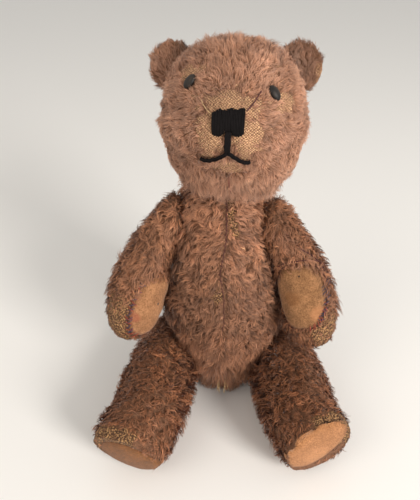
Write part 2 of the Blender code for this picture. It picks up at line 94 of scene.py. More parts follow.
# Limbs hang down z, x is outward: height, half thickness, half width, outward centre, backward centre
ARM_TOP, ARM_TIP = 0.0220, -0.1040
ARM_FULLNESS = 2.7
ARM_STATIONS = (
    (-0.104, 0.0255, 0.0240, 0.0265, -0.0050),
    (-0.083, 0.0250, 0.0240, 0.0262, -0.0030),
    (-0.058, 0.0230, 0.0230, 0.0245, 0.0000),
    (-0.028, 0.0205, 0.0230, 0.0195, 0.0010),
    (0.000, 0.0170, 0.0225, 0.0120, 0.0000),
    (0.022, 0.0140, 0.0190, 0.0090, 0.0000),
)
LEG_TOP, LEG_TIP = 0.0295, -0.1390
LEG_SOLE = {"left": -0.1160, "right": -0.1198}
# outward and downward lean of each sole
SOLE_LEAN = {
    "left": (radians(13), radians(-3)),
    "right": (radians(15), radians(11)),
}
LEG_FULLNESS = 3.2
LEG_STATIONS = (
    (-0.124, 0.0270, 0.0335, 0.0300, -0.0060),
    (-0.107, 0.0275, 0.0325, 0.0295, -0.0050),
    (-0.085, 0.0285, 0.0295, 0.0290, -0.0010),
    (-0.053, 0.0290, 0.0290, 0.0275, 0.0000),
    (-0.020, 0.0285, 0.0290, 0.0245, 0.0000),
    (0.000, 0.0275, 0.0290, 0.0220, 0.0000),
    (0.028, 0.0255, 0.0275, 0.0200, 0.0000),
)
ARM_SWING = {"left": radians(-7), "right": radians(-10)}
LEG_SWING = {"left": radians(-82), "right": radians(-82)}
FOOT_TURN = {"left": radians(26), "right": radians(45)}
ANKLE, INSTEP = -0.040, -0.095
# half width, half length, and how much narrower it is towards its lower end
PAW_PAD = {"left": (0.0192, 0.0262, 0.0), "right": (0.0165, 0.0265, 0.14)}
PAW_PAD_ROLL = {"left": 0.0, "right": radians(-16)}
PAW_PAD_HEIGHT = {"left": -0.0565, "right": -0.0700}
PALM_TURN = {"left": radians(2), "right": radians(38)}
SOLE_PAD = {"left": (0.0212, 0.0275, 0.0), "right": (0.0208, 0.0262, 0.0)}
SOLE_PAD_DROP = {"left": 1.5 * MM, "right": 0.0}
SOLE_CENTRE = {"left": (0.0285, -0.0120), "right": (0.0335, 0.0028)}

# How square a pad's corners are
PAD_FULLNESS = 2.3
# Threads of the backing lie this far apart
WEAVE_PITCH = 1.0 * MM
# The weave goes round a limb as round a rod this far out from its joint, and this thick
LIMB_MIDDLE, LIMB_RADIUS = 0.025, 0.024
# The cloth lies under the middle of its pile, and nearly at the surface where the pile is gone
CLOTH_DEPTH, BALD_DEPTH = 1.8 * MM, 0.4 * MM
# Round each joint the cloth is bare this far from the axis
JOINT_RADIUS = {"neck": 0.022, "arm": 0.013, "leg": 0.014}
# Hairs planted on each side of the head and body, and on each limb and ear
HAIRS = {"head": 38000, "body": 32000, "arm": 14500, "leg": 17500, "ear": 5000}
# Some hairs are longer than the rest, and some are golden at their tips
LONG_SHARE, LONGER = 0.08, 1.35
GOLDEN_SHARE = 0.07
SHORTEST, LONGEST = 0.6 * MM, 14 * MM
# The pile keeps this far above the table
OFF_TABLE = 0.5 * MM

joints = {joint["name"]: Vector(joint["pos_m"]) for joint in frame["joints"]}


def place_frames():
    """The rest matrix of each body's own frame."""
    seat = Matrix.Translation(TORSO_SEAT) @ Matrix.Rotation(-LEAN, 4, "X")
    neck = seat @ NECK
    stand = Matrix.Translation((joints["neck"].x - neck.x, joints["neck"].y - neck.y, 0))
    torso = stand @ seat
    found = {"body": torso}
    found["head"] = torso @ Matrix.Translation(NECK) @ Matrix.Rotation(HEAD_YAW, 4, "Z")
    for side, out in SIDES.items():
        for limb, table, swing in (("arm", SHOULDERS, ARM_SWING), ("leg", HIPS, LEG_SWING)):
            place, slope, yaw = table[side]
            spot = Vector((out * place.x, place.y, place.z))
            turn = Matrix.Rotation(-out * yaw, 4, "Z") @ Matrix.Rotation(-out * slope, 4, "Y")
            swung = Matrix.Rotation(swing[side], 4, "X")
            found[f"{side}_{limb}_seat"] = torso @ Matrix.Translation(spot) @ turn
            found[f"{side}_{limb}"] = found[f"{side}_{limb}_seat"] @ swung
    return found


FRAMES = place_frames()


def between(stations, height):
    """The values at a height, on a smooth curve through the stations."""
    low = sum(height > station[0] for station in stations[1:-1])
    rows = [stations[min(max(low + i, 0), len(stations) - 1)] for i in (-1, 0, 1, 2)]
    start, end = rows[1][0], rows[2][0]
    t = min(max((height - start) / (end - start), 0.0), 1.0)
    values = []
    for before, first, second, after in zip(*[row[1:] for row in rows]):
        lift = (second - before) / 2, (after - first) / 2
        values.append(
            first * (2 * t**3 - 3 * t**2 + 1)
            + second * (3 * t**2 - 2 * t**3)
            + lift[0] * (t**3 - 2 * t**2 + t)
            + lift[1] * (t**3 - t**2)
        )
    return values


def sausage(point, low, high, fullness):
    """A point of the unit sphere as (x, y) of a unit section, and a height between low and high."""
    height = low + (high - low) * (point.z + 1) / 2
    round_end = math.sqrt(max(1 - point.z**2, 1e-9))
    full_end = max(1 - abs(point.z) ** fullness, 0.0) ** (1 / fullness)
    return point.x * full_end / round_end, point.y * full_end / round_end, height


def torso_shape(point):
    across, along, height = sausage(point, TORSO_BOTTOM, TORSO_TOP, TORSO_FULLNESS)
    width, depth, back = between(TORSO_STATIONS, height)
    return Vector((across * width, along * depth + back, height))


def arm_shape(point):
    across, along, height = sausage(point, ARM_TIP, ARM_TOP, ARM_FULLNESS)
    thick, wide, out, back = between(ARM_STATIONS, height)
    return Vector((across * thick + out, along * wide + back, height))


def leg_shape(side):
    """A leg as the left one would be, with this side's turn of the foot."""

    def shape(point):
        across, along, height = sausage(point, LEG_TIP, LEG_TOP, LEG_FULLNESS)
        thick, wide, out, back = between(LEG_STATIONS, height)
        t = min(max((height - ANKLE) / (INSTEP - ANKLE), 0.0), 1.0)
        turn = FOOT_TURN[side] * t * t * (3 - 2 * t)
        x, y = across * thick, along * wide + back
        x, y = x * math.cos(turn) - y * math.sin(turn), x * math.sin(turn) + y * math.cos(turn)
        return Vector((x + out, y, height))

    return shape


def head_reach(direction):
    """The head's radius along a unit direction from its centre."""
    lower = direction.z < 0
    power = JAW_FULLNESS if lower else CROWN_FULLNESS
    sizes = (SKULL.x, SKULL.y, JAW_DEPTH if lower else SKULL.z)
    skull = sum(abs(d / s) ** power for d, s in zip(direction, sizes)) ** (-1 / power)
    muzzle = Vector((0, -math.cos(MUZZLE_DROP), -math.sin(MUZZLE_DROP)))
    ahead = direction.dot(muzzle)
    if ahead <= 0:
        return skull
    rest = direction - ahead * muzzle
    spread = Vector((rest.x / MUZZLE_SPREAD[0], rest.z / MUZZLE_SPREAD[1])).length
    return skull + MUZZLE_REACH * ahead**0.5 / (1 + spread**4)


def head_point(direction):
    """The point of the head's surface in a unit direction, with the underside drawn back over the neck."""
    spot = direction * head_reach(direction)
    if spot.z < 0:
        spot.y += NECK_SET_BACK * (spot.z / JAW_DEPTH) ** 2
    return spot


HEAD_TURN = Matrix.Rotation(-HEAD_TILT, 3, "X")


def head_shape(point):
    direction = Vector((point.x, -point.z, point.y)).normalized()
    return HEAD_CENTRE + HEAD_TURN @ head_point(direction)


def face_point(place, stand=0.0):
    """The point of the face at (across, up), and the way out of it there, both in the row's frame."""
    across, up = place
    direction = Vector((across, -MUZZLE_TIP, up)).normalized()
    for _ in range(8):
        reach = head_reach(direction)
        depth = math.sqrt(max(reach**2 - across**2 - up**2, 1e-8))
        direction = Vector((across, -depth, up)).normalized()
    step = 0.02
    sides = [
        (direction + Vector(offset)).normalized()
        for offset in ((step, 0, 0), (0, 0, step), (-step, 0, 0), (0, 0, -step))
    ]
    ends = [head_point(d) for d in sides]
    out = (ends[0] - ends[2]).cross(ends[1] - ends[3]).normalized()
    if out.y > 0:
        out.negate()
    spot = HEAD_CENTRE + HEAD_TURN @ (head_point(direction) + out * stand)
    return FRAMES["head"] @ spot, FRAMES["head"].to_3x3() @ (HEAD_TURN @ out)


def pointing(normal, up, place):
    """A frame at place whose z is the normal and whose y lies near up."""
    across = up.cross(normal).normalized()
    return Matrix.Translation(place) @ Matrix((across, normal.cross(across), normal)).transposed().to_4x4()


def flats_of(body):
    """The planes where a body presses on its neighbours or the table, in its own frame: a point, the way it
    faces, and how far from that point the cloth is bare."""
    place = FRAMES[body]
    down = place.inverted()
    floor = (down.translation, down.to_3x3() @ Vector((0, 0, -1)), 1.0)
    if body == "head":
        return [(Vector((0, 0, PLAY)), Vector((0, 0, -1)), JOINT_RADIUS["neck"])]
    if body == "body":
        planes = [(NECK - Vector((0, 0, PLAY)), Vector((0, 0, 1)), JOINT_RADIUS["neck"]), floor]
        for side, out in SIDES.items():
            for limb in ("arm", "leg"):
                seat = down @ FRAMES[f"{side}_{limb}_seat"]
                axis = seat.to_3x3() @ Vector((out, 0, 0))
                planes.append((seat.translation - axis * PLAY, axis, JOINT_RADIUS[limb]))
        return planes
    side, limb = body.split("_")
    out = SIDES[side]
    planes = [(Vector((out * PLAY, 0, 0)), Vector((-out, 0, 0)), JOINT_RADIUS[limb])]
    if limb == "leg":
        sole, down_way, _ = sole_of(side)
        planes += [(sole, down_way, 0.0), floor]
    return planes


def sole_of(side):
    """The middle of a sole, the way it faces and the way of the toe, in the leg's frame."""
    out, turn, (outward, downward) = SIDES[side], FOOT_TURN[side], SOLE_LEAN[side]
    toe = Vector((out * math.sin(turn), -math.cos(turn), 0))
    across, back = SOLE_CENTRE[side]
    down = Vector((out * math.tan(outward), math.tan(downward), -1)).normalized()
    return Vector((out * across, back, LEG_SOLE[side])), down, toe


def palm_of(side):
    """The frame of a paw pad, in the arm's frame."""
    out, turn, height = SIDES[side], PALM_TURN[side], PAW_PAD_HEIGHT[side]
    _, _, middle, back = between(ARM_STATIONS, height)
    palm = Vector((-out * math.sin(turn), -math.cos(turn), 0))
    flat = pointing(palm, Vector((0, 0, 1)), Vector((out * middle, back, height)))
    return flat @ Matrix.Rotation(PAW_PAD_ROLL[side], 4, "Z")


# ---- Wear -------------------------------------------------------------------------------


def ripples(points, size, seed):
    """A smooth random value at each point, mostly within 1 of zero, with features of this size."""
    draw = np.random.default_rng(seed)
    total = np.zeros(len(points))
    for _ in range(9):
        way = draw.normal(size=3)
        way /= np.linalg.norm(way)
        pitch = size * draw.uniform(0.8, 1.7)
        total += np.sin(points @ way * (2 * math.pi / pitch) + draw.uniform(0, 2 * math.pi))
    return total / 3


def rise(values, low, high):
    """0 up to low, 1 from high on, and smooth between."""
    t = np.clip((values - low) / (high - low), 0, 1)
    return t * t * (3 - 2 * t)


def fall(values, low, high):
    return 1 - rise(values, low, high)


def patch(points, middle, radii, edge=0.35):
    """1 inside an oval patch, falling to 0 at a ragged edge."""
    middle, radii = np.array(middle), np.array(radii)
    far = np.linalg.norm((points - middle) / radii, axis=1)
    far += edge * 0.7 * ripples(points, 6 * MM, 5) + edge * 0.5 * ripples(points, 2.2 * MM, 6)
    return fall(far, 1 - edge, 1 + edge)


def patches(points, *rows):
    """How worn the points are by patches seen from the front: strength, place, radii and raggedness of each."""
    flat = points * np.array((1, 0, 1))
    return most(
        *(strength * patch(flat, (x, 0, z), (wide, 1, tall), edge) for strength, x, z, wide, tall, edge in rows)
    )


def relief(points):
    """The matted hills and hollows of the pile."""
    return 0.6 * ripples(points, 13 * MM, 33) + 0.4 * ripples(points, 7 * MM, 34)


def beside(points, line, width):
    """1 on a line through some points, falling to 0 at this distance from it."""
    line, nearest = np.array(line), np.full(len(points), 1.0)
    for start, end in zip(line, line[1:]):
        run = end - start
        along = np.clip((points - start) @ run / (run @ run), 0, 1)
        gap = np.linalg.norm(points - start - along[:, None] * run, axis=1)
        nearest = np.minimum(nearest, gap)
    return fall(nearest, 0.3 * width, width)


def most(*layers):
    return np.max(np.stack(layers), axis=0)


def face_places(points):
    """(across, depth, up) on the face of points in the head's frame."""
    return (points - np.array(HEAD_CENTRE)) @ np.array(HEAD_TURN)


def head_wear(points):
    """The bald muzzle and chin, and worn places by the eyes."""
    face = face_places(points)
    return np.where(face[:, 1] < -0.030, 1.0, 0.0) * patches(
        face,
        (1.00, 0.001, 0.0070, 0.0185, 0.0085, 0.50),
        (1.00, -0.011, -0.0100, 0.0085, 0.0150, 0.50),
        (1.00, 0.0120, -0.0125, 0.0100, 0.0125, 0.50),
        (0.75, 0.000, -0.0330, 0.0120, 0.0050, 0.35),
        (0.78, -0.0280, 0.0270, 0.0085, 0.0065, 0.5),
        (0.88, 0.0345, 0.0085, 0.0050, 0.0075, 0.6),
        (0.55, 0.0300, 0.0370, 0.0045, 0.0090, 0.5),
    )


# The sleeve seam of the left arm, in the arm's frame
ARM_SEAM = (
    (0.0195, -0.0175, -0.0027), (0.0294, -0.0152, -0.0171), (0.0406, -0.0037, -0.0337), (0.0470, 0.0010, -0.0550),
)
# The belly seam: height, and how far across it runs there
SEAM_PATH = (
    (0.072, -0.0058), (0.086, -0.0028), (0.108, -0.0030), (0.128, -0.0063), (0.154, -0.0018), (0.170, -0.0011),
    (0.190, -0.0010),
)


def seam_across(heights):
    """How far across the belly seam runs at each height up the torso."""
    return np.interp(heights, *zip(*SEAM_PATH))


def torso_wear(points):
    return np.where(points[:, 1] < 0, 1.0, 0.0) * patches(
        points,
        (0.95, 0.0020, 0.177, 0.0028, 0.0110, 0.50),
        (1.00, 0.0044, 0.1650, 0.0040, 0.0055, 0.50),
        (0.85, -0.0080, 0.1120, 0.0048, 0.0058, 0.55),
        (0.45, 0.0160, 0.1490, 0.0030, 0.0035, 0.55),
    )


def arm_wear(side):
    """The front of a paw, beside its pad."""
    strength, least, low, high, inner, outer = {
        "right": (1.00, 0.95, -0.082, -0.048, 0.018, 0.030),
        "left": (0.85, 0.90, -0.083, -0.054, 0.023, 0.036),
    }[side]

    def wear(points):
        x, y, z = points.T
        bare = strength * fall(y, -0.010, 0.004) * fall(z, low, high) * rise(x * SIDES[side], inner, outer)
        ragged = 0.25 * ripples(points, 7 * MM, 15) + 0.2 * ripples(points, 2.5 * MM, 16)
        return np.clip(bare * (least + ragged), 0, 1)

    return wear


def leg_wear(side):
    """The toe cap, above the front of the sole."""
    sole, way, toe = sole_of(side)
    start, strength = {"left": (0.003, 0.95), "right": (-0.002, 0.80)}[side]

    def wear(points):
        from_sole = points - np.array(sole)
        height, ahead = -(from_sole @ np.array(way)), from_sole @ np.array(toe)
        ragged = 0.3 * ripples(points, 8 * MM, 25) + 0.2 * ripples(points, 2.5 * MM, 26)
        return np.clip(fall(height, 0.005, 0.015) * rise(ahead, start, start + 0.014) * (strength + ragged), 0, 1)

    return wear


# ---- Cloth ------------------------------------------------------------------------------


def pulled(data, field, kind=float):
    """A field of three values each, of all of a mesh's elements."""
    values = np.empty(len(data) * 3, kind)
    data.foreach_get(field, values)
    return values.reshape(-1, 3)


class Cloth:
    """A stuffed form's skin, with what its pile needs to know at each vertex."""

    def __init__(self, body, obj, local, worn, flats):
        self.body, self.obj, self.flats = body, obj, flats
        self.local, self.worn = local, worn
        self.points = pulled(obj.data.vertices, "co")
        self.normals = pulled(obj.data.vertex_normals, "vector")
        obj.data.calc_loop_triangles()
        self.corners = pulled(obj.data.loop_triangles, "vertices", np.int32)
        self.tree = BVHTree.FromPolygons(self.points.tolist(), self.corners.tolist())


FIELDS = {"FLOAT": "value", "FLOAT_VECTOR": "vector", "FLOAT_COLOR": "color"}


def attribute(mesh, name, kind, values):
    data = mesh.attributes.new(name, kind, "POINT").data
    data.foreach_set(FIELDS[kind], np.ascontiguousarray(values, np.float32).ravel())


def placed(name, data, material, body):
    """A piece of the bear, riding on its body."""
    data.materials.append(material)
    obj = bpy.data.objects.new(name, data)
    bpy.context.scene.collection.objects.link(obj)
    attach(obj, body)
    return obj


def finished(name, form, material, body):
    """A piece in place on its body, from a bmesh in the row's frame."""
    mesh = bpy.data.meshes.new(name)
    form.to_mesh(mesh)
    form.free()
    mesh.shade_smooth()
    return placed(name, mesh, material, body)


def in_order(form):
    """The same bmesh with its points, faces and corners in an order that doesn't change from run to run."""
    uv_before = form.loops.layers.uv.active
    verts = sorted(form.verts, key=lambda vert: tuple(round(c, 6) + 0.0 for c in vert.co))
    rank = {vert: i for i, vert in enumerate(verts)}
    ordered = bmesh.new()
    uv = ordered.loops.layers.uv.new("OFBake")
    made = [ordered.verts.new([round(c, 6) + 0.0 for c in vert.co]) for vert in verts]
    faces = []
    for face in form.faces:
        corners = list(face.loops)
        first = min(range(len(corners)), key=lambda i: rank[corners[i].vert])
        faces.append(corners[first:] + corners[:first])
    for corners in sorted(faces, key=lambda corners: [rank[corner.vert] for corner in corners]):
        face = ordered.faces.new([made[rank[corner.vert]] for corner in corners])
        for corner, before in zip(face.loops, corners):
            corner[uv].uv = before[uv_before].uv
    form.free()
    return ordered


def unit_ball(around, along):
    form = bmesh.new()
    form.loops.layers.uv.new("OFBake")
    bmesh.ops.create_uvsphere(form, u_segments=around, v_segments=along, radius=1.0, calc_uvs=True)
    return in_order(form)


def stuffed_cloth(name, body, shape, grid, wear, material, out=1.0, slack=1.0):
    """The sewn skin of a stuffed form, pressed flat where it meets its neighbours."""
    form = unit_ball(*grid)
    for vert in form.verts:
        vert.co = shape(vert.co.normalized())
    bmesh.ops.recalc_face_normals(form, faces=form.faces)
    form.normal_update()
    local = np.array([v.co for v in form.verts])
    ways = np.array([v.normal for v in form.verts])
    mirror = np.array((out, 1.0, 1.0))
    worn = wear(local * mirror)
    lumps = slack * (0.5 * MM * ripples(local, 26 * MM, 31) + 0.6 * MM * relief(local * mirror))
    depth = CLOTH_DEPTH + (BALD_DEPTH - CLOTH_DEPTH) * rise(worn, 0.1, 0.7) - lumps
    if body == "head":
        depth += 1.8 * MM * cheek_bottoms(face_places(local))
    local = (local - ways * depth[:, None]) * mirror
    flats = flats_of(body)
    for place, normal, _ in flats:
        place, normal = np.array(place), np.array(normal)
        local -= np.maximum((local - place) @ normal, 0)[:, None] * normal
    for vert, co in zip(form.verts, local):
        vert.co = FRAMES[body] @ Vector(co)
    if out < 0:
        bmesh.ops.reverse_faces(form, faces=form.faces)
    obj = finished(name, form, material, body)
    attribute(obj.data, "worn", "FLOAT", worn)
    attribute(obj.data, "cloth", "FLOAT_VECTOR", weave_places(body, local))
    return Cloth(body, obj, local, worn, flats)


def weave_places(body, local):
    """Where each vertex lies along the two threads of the backing."""
    across, depth, up = (face_places(local) if body == "head" else local).T
    if body == "head":
        up = up * 1.2
    elif body != "body":
        across = np.arctan2(depth, np.abs(across) - LIMB_MIDDLE) * LIMB_RADIUS
    return np.stack([across, up, depth], axis=1)


# ---- Pile -------------------------------------------------------------------------------


def strand_template(levels):
    """One flat tapering hair: (across, along) of its points, and its faces."""
    form = bmesh.new()
    form.loops.layers.uv.new("OFBake")
    bmesh.ops.create_grid(form, x_segments=1, y_segments=levels - 1, size=0.5)
    top = [v for v in form.verts if v.co.y > 0.49]
    bmesh.ops.pointmerge(form, verts=top, merge_co=(0, 0.5, 0))
    form = in_order(form)
    form.verts.index_update()
    points = np.array([(v.co.x, v.co.y + 0.5) for v in form.verts])
    faces = [[v.index for v in face.verts] for face in form.faces]
    form.free()
    return points, faces


STRANDS = {levels: strand_template(levels) for levels in (3, 4)}
# how wide a hair is at each level
TAPER = {3: (1.0, 0.85, 0.0), 4: (1.0, 0.95, 0.75, 0.0)}


def unit(ways):
    return ways / np.maximum(np.linalg.norm(ways, axis=-1, keepdims=True), 1e-9)


def rooted(cloth, keep, count, draw):
    """Random places on a cloth: index of the triangle's corners and the weight of each."""
    middles = cloth.local[cloth.corners].mean(axis=1)
    a, b, c = (cloth.points[cloth.corners[:, i]] for i in range(3))
    area = np.linalg.norm(np.cross(b - a, c - a), axis=1) / 2
    share = area * keep(middles)
    for place, normal, bare in cloth.flats:
        off = middles - np.array(place)
        pressed = off @ np.array(normal) > -0.25 * MM
        share[pressed & (np.linalg.norm(off, axis=1) < bare)] = 0
        share[pressed] *= 0.6
    picked = draw.choice(len(share), size=count, p=share / share.sum())
    u, v = draw.random(count), draw.random(count)
    over = u + v > 1
    u[over], v[over] = 1 - u[over], 1 - v[over]
    weights = np.stack([1 - u - v, u, v], axis=1)[:, :, None]
    corners = cloth.corners[picked]
    return corners, weights, share.sum()


def strand_paths(roots, out, lie, length, lift, sag, coat, twist, levels):
    """The points of each hair at each level: it stands up, falls over the way it lies, and curls or hangs."""
    t = levels[None, :, None]
    curl, turns = coat["curl"], coat["turns"]
    side = np.cross(out, lie)[:, None, :]
    out, lie = out[:, None, :], lie[:, None, :]
    length, lift, sag = (values[:, None, None] for values in (length, lift, sag))
    lean = np.sqrt(1 - lift**2)
    path = roots[:, None, :] + length * (
        out * lift * (t - 0.42 * t**2) * 1.25
        + lie * lean * (0.45 * t + 0.6 * t**2)
        + np.array((0.0, -0.25, -1.0)) * sag * t**2
    )
    angle = 2 * math.pi * (turns * t + twist[:, None, None])
    swing = np.sin(angle) - np.sin(2 * math.pi * twist[:, None, None])
    bob = np.cos(angle) - np.cos(2 * math.pi * twist[:, None, None])
    reach = curl * np.minimum(length / (7 * MM), 1.0) * (0.35 + 0.65 * t)
    return path + side * swing * reach + out * bob * reach * 0.6


def leader_of(roots, leaders):
    """Which of the first few hairs, each the leader of a lock, grows nearest to each hair."""
    tree = KDTree(leaders)
    for i in range(leaders):
        tree.insert(roots[i], i)
    tree.balance()
    return np.array([tree.find(root)[1] for root in roots])


def lies_of(body, coat, local, out, lead, leaders, seed, draw):
    """The way each hair falls over along the cloth: as its coat lies, straying by place, by lock and by hair."""
    unruly = coat["unruly"](local)[:, None]
    drift = np.stack([ripples(local, coat["swirl"], seed + i) for i in range(3)], axis=1)
    lie = unit(coat["lie"](local)) + coat["stray"] * unruly * drift
    lie = lie @ np.array(FRAMES[body].to_3x3()).T
    lie += coat["tuft"] * unruly * draw.normal(size=(leaders, 3))[lead]
    lie += coat["jitter"] * draw.normal(size=lie.shape)
    return unit(lie - (lie * out).sum(axis=1, keepdims=True) * out)


def lengths_of(coat, local, worn, lead, leaders, seed, draw):
    """How long each hair is, shorter where the pile is worn."""
    length = coat["length"](local) * (1 + 0.14 * draw.normal(size=len(local)))
    length *= 1 + 0.14 * ripples(local, 16 * MM, seed + 7) + 0.12 * ripples(local, 8 * MM, seed + 8)
    length *= (1 + 0.16 * draw.normal(size=leaders))[lead]
    length *= np.where(draw.random(len(local)) < LONG_SHARE, LONGER, 1.0)
    return np.clip(length * (1 - 0.80 * rise(worn, 0.05, 0.8)), SHORTEST, LONGEST)


def tints_of(coat, local, along, lead, leaders, draw):
    """The colour of each point of each hair, painted dark at the root as shade down in the pile."""
    tone = coat["tone"](local) * (1 + coat["mottle"] * draw.normal(size=(leaders, 1)))[lead]
    tone = tone * (1 + 0.15 * draw.normal(size=(len(local), 1)))
    tips = along[None, :, None] ** 0.8
    # Painted shade: each hair darkens towards its root
    tints = tone[:, None, :] * (coat["root"] + (1.08 - coat["root"]) * tips)
    tints = tints * (ROOT_SHADE_TINT * (1 - tips) + TIP_LIGHT_TINT * tips)
    golden = (draw.random(len(local)) < GOLDEN_SHARE)[:, None, None] * tips
    return np.clip(tints * (1 - golden) + tints * GOLDEN * golden, 0.004, 1)


def grow_pile(name, cloth, keep, count, coat, material, seed):
    """Hairs on a cloth, drawn together in locks, as one piece."""
    draw = np.random.default_rng(seed)
    corners, weights, area = rooted(cloth, keep, count, draw)

    def at(values):
        return (values[corners] * weights).sum(axis=1)

    roots, out, local = at(cloth.points), unit(at(cloth.normals)), at(cloth.local)
    worn = (cloth.worn[corners] * weights[:, :, 0]).sum(axis=1)
    lives = draw.random(count) > rise(worn, 0.15, 0.9) * coat["loss"]
    roots, out, local, worn = roots[lives], out[lives], local[lives], worn[lives]
    count = len(roots)
    leaders = max(int(area / coat["lock"] ** 2), 8)
    lead = leader_of(roots, leaders)
    lie = lies_of(cloth.body, coat, local, out, lead, leaders, seed, draw)
    length = lengths_of(coat, local, worn, lead, leaders, seed, draw)

    # Each hair's own path, drawn towards its leader's from the root on
    steps = coat["levels"]
    levels = np.linspace(0, 1, steps)
    twist = draw.random(count)
    near_twist = twist[lead] + 0.08 * draw.normal(size=count)
    lift = np.clip(coat["lift"](local) + 0.10 * draw.normal(size=leaders)[lead], 0.25, 0.95)
    sag = coat["sag"](local)
    own = strand_paths(roots, out, lie, length, lift, sag, coat, near_twist, levels)
    lock = strand_paths(roots, out, lie, length, lift, sag, coat, twist, levels)[lead]
    pull = (coat["pull"] * levels**0.8)[None, :, None] * draw.uniform(0.6, 1.0, (count, 1, 1))
    path = own * (1 - pull) + lock * pull
    path[:, :, 2] = np.maximum(path[:, :, 2], OFF_TABLE)

    # A flat taper along the path, rolled about it at random
    run = unit(np.gradient(path, axis=1))
    across = unit(np.cross(run, out[:, None, :]))
    roll = draw.uniform(-1.0, 1.0, (count, 1, 1))
    across = across * np.cos(roll) + np.cross(run, across) * np.sin(roll)
    sideways, along = STRANDS[steps][0].T
    level = np.rint(along * (steps - 1)).astype(int)
    width = coat["width"] * draw.uniform(0.7, 1.25, (count, 1, 1))
    taper = np.array(TAPER[steps])[level][None, :, None]
    points = path[:, level] + across[:, level] * sideways[None, :, None] * width * taper

    # Shaded as the cloth under it, and as the side of its lock
    face_way = unit(np.cross(across, run))
    face_way *= np.sign((face_way * out[:, None, :]).sum(axis=2, keepdims=True))
    bulge = coat["round"] * np.clip((roots - roots[lead]) / coat["lock"], -1, 1)[:, None, :]
    normals = unit(0.78 * out[:, None, :] + 0.22 * face_way + bulge)[:, level]
    tints = tints_of(coat, local, along, lead, leaders, draw)
    strands_mesh(name, cloth.body, STRANDS[steps], points, normals, tints, material)


def strands_mesh(name, body, strand, points, normals, tints, material):
    """One piece of all the hairs, each with its own patch of the UV map."""
    strand_points, strand_faces = strand
    count, size = points.shape[:2]
    starts = np.arange(count)[:, None] * size
    loops = np.concatenate([starts + np.array(face) for face in strand_faces], axis=1).ravel()
    sizes = np.array([len(face) for face in strand_faces])
    begins = np.arange(count)[:, None] * sizes.sum() + np.concatenate([[0], np.cumsum(sizes)[:-1]])
    mesh = bpy.data.meshes.new(name)
    mesh.vertices.add(count * size)
    mesh.vertices.foreach_set("co", points.astype(np.float32).ravel())
    mesh.loops.add(len(loops))
    mesh.loops.foreach_set("vertex_index", loops.astype(np.int32))
    mesh.polygons.add(count * len(sizes))
    mesh.polygons.foreach_set("loop_start", begins.astype(np.int32).ravel())
    mesh.update(calc_edges=True)
    colours = np.concatenate([tints.reshape(-1, 3), np.ones((count * size, 1))], axis=1)
    attribute(mesh, "tint", "FLOAT_COLOR", colours)
    cells = math.ceil(math.sqrt(count))
    corner = np.stack([np.arange(count) % cells, np.arange(count) // cells], axis=1)[:, None, :]
    inside = np.stack([strand_points[:, 0] + 0.5, strand_points[:, 1]], axis=1)[None]
    places = ((corner + 0.1 + 0.8 * inside) / cells).reshape(-1, 2)[loops]
    mesh.uv_layers.new(name="OFBake").data.foreach_set("uv", places.astype(np.float32).ravel())
    mesh.shade_smooth()
    mesh.normals_split_custom_set_from_vertices(normals.reshape(-1, 3).astype(np.float32))
    placed(name, mesh, material, body)


# ---- Finishes ---------------------------------------------------------------------------


class Nodes:
    """A node tree, with short ways to add to it."""

    def __init__(self, tree):
        self.tree = tree

    def fill(self, socket, value):
        """Links a socket's value to it, or sets it; a colour may come without its alpha."""
        if isinstance(value, bpy.types.NodeSocket):
            self.tree.links.new(value, socket)
        else:
            socket.default_value = (*value, 1.0) if socket.type == "RGBA" and len(value) == 3 else value

    def add(self, kind, settings=None, **inputs):
        """A new node; an input is named, or is i and its number."""
        node = self.tree.nodes.new(kind)
        for key, value in (settings or {}).items():
            setattr(node, key, value)
        for key, value in inputs.items():
            self.fill(node.inputs[int(key[1:]) if key[1:].isdigit() else key], value)
        return node

    def math(self, operation, first, second=0.5):
        return self.add("ShaderNodeMath", {"operation": operation}, i0=first, i1=second).outputs[0]

    def plus(self, first, second):
        return self.math("ADD", first, second)

    def times(self, first, second):
        return self.math("MULTIPLY", first, second)

    def fade(self, value, low, high):
        """0 up to low, 1 from high on, and smooth between."""
        settings = {"interpolation_type": "SMOOTHSTEP"}
        return self.add("ShaderNodeMapRange", settings, i0=value, i1=low, i2=high).outputs[0]

    def mix(self, amount, first, second, blend="MIX"):
        settings = {"data_type": "RGBA", "blend_type": blend}
        return self.add("ShaderNodeMix", settings, i0=amount, i6=first, i7=second).outputs[2]


class Finish(Nodes):
    """A material under construction."""

    def __init__(self, name, roughness=0.9, **constants):
        self.material = bpy.data.materials.new(name)
        self.material.use_nodes = True
        super().__init__(self.material.node_tree)
        self.shader = self.tree.nodes["Principled BSDF"]
        for socket, value in {"Roughness": roughness, **constants}.items():
            self.give(socket.replace("_", " "), value)

    def give(self, socket, value):
        self.fill(self.shader.inputs[socket], value)

    def bump(self, height, strength, distance):
        node = self.add("ShaderNodeBump", Strength=strength, Distance=distance, Height=height)
        self.give("Normal", node.outputs[0])

    def read(self, name, output="Vector"):
        return self.add("ShaderNodeAttribute", {"attribute_name": name}).outputs[output]

    @cached_property
    def places(self):
        """The piece's own coordinates."""
        coordinates = self.add("ShaderNodeTexCoord").outputs["Object"]
        return self.add("ShaderNodeMapping", Vector=coordinates).outputs[0]

    def noise(self, scale, detail=3.0, rough=0.55):
        node = self.add("ShaderNodeTexNoise", Vector=self.places, Scale=scale, Detail=detail, Roughness=rough)
        return node.outputs["Fac"]

    def clouds(self, low, high, *noise):
        """Noise, taken from 0 to 1 between two of its levels."""
        return self.fade(self.noise(*noise), low, high)

    def ramp(self, value, *stops):
        """A smooth colour through the (position, colour) stops."""
        node = self.add("ShaderNodeValToRGB", Fac=value)
        elements = node.color_ramp.elements
        while len(elements) < len(stops):
            elements.new(0.5)
        for element, (position, colour) in zip(elements, stops):
            element.position, element.color = position, (*colour, 1.0)
        return node.outputs["Color"]


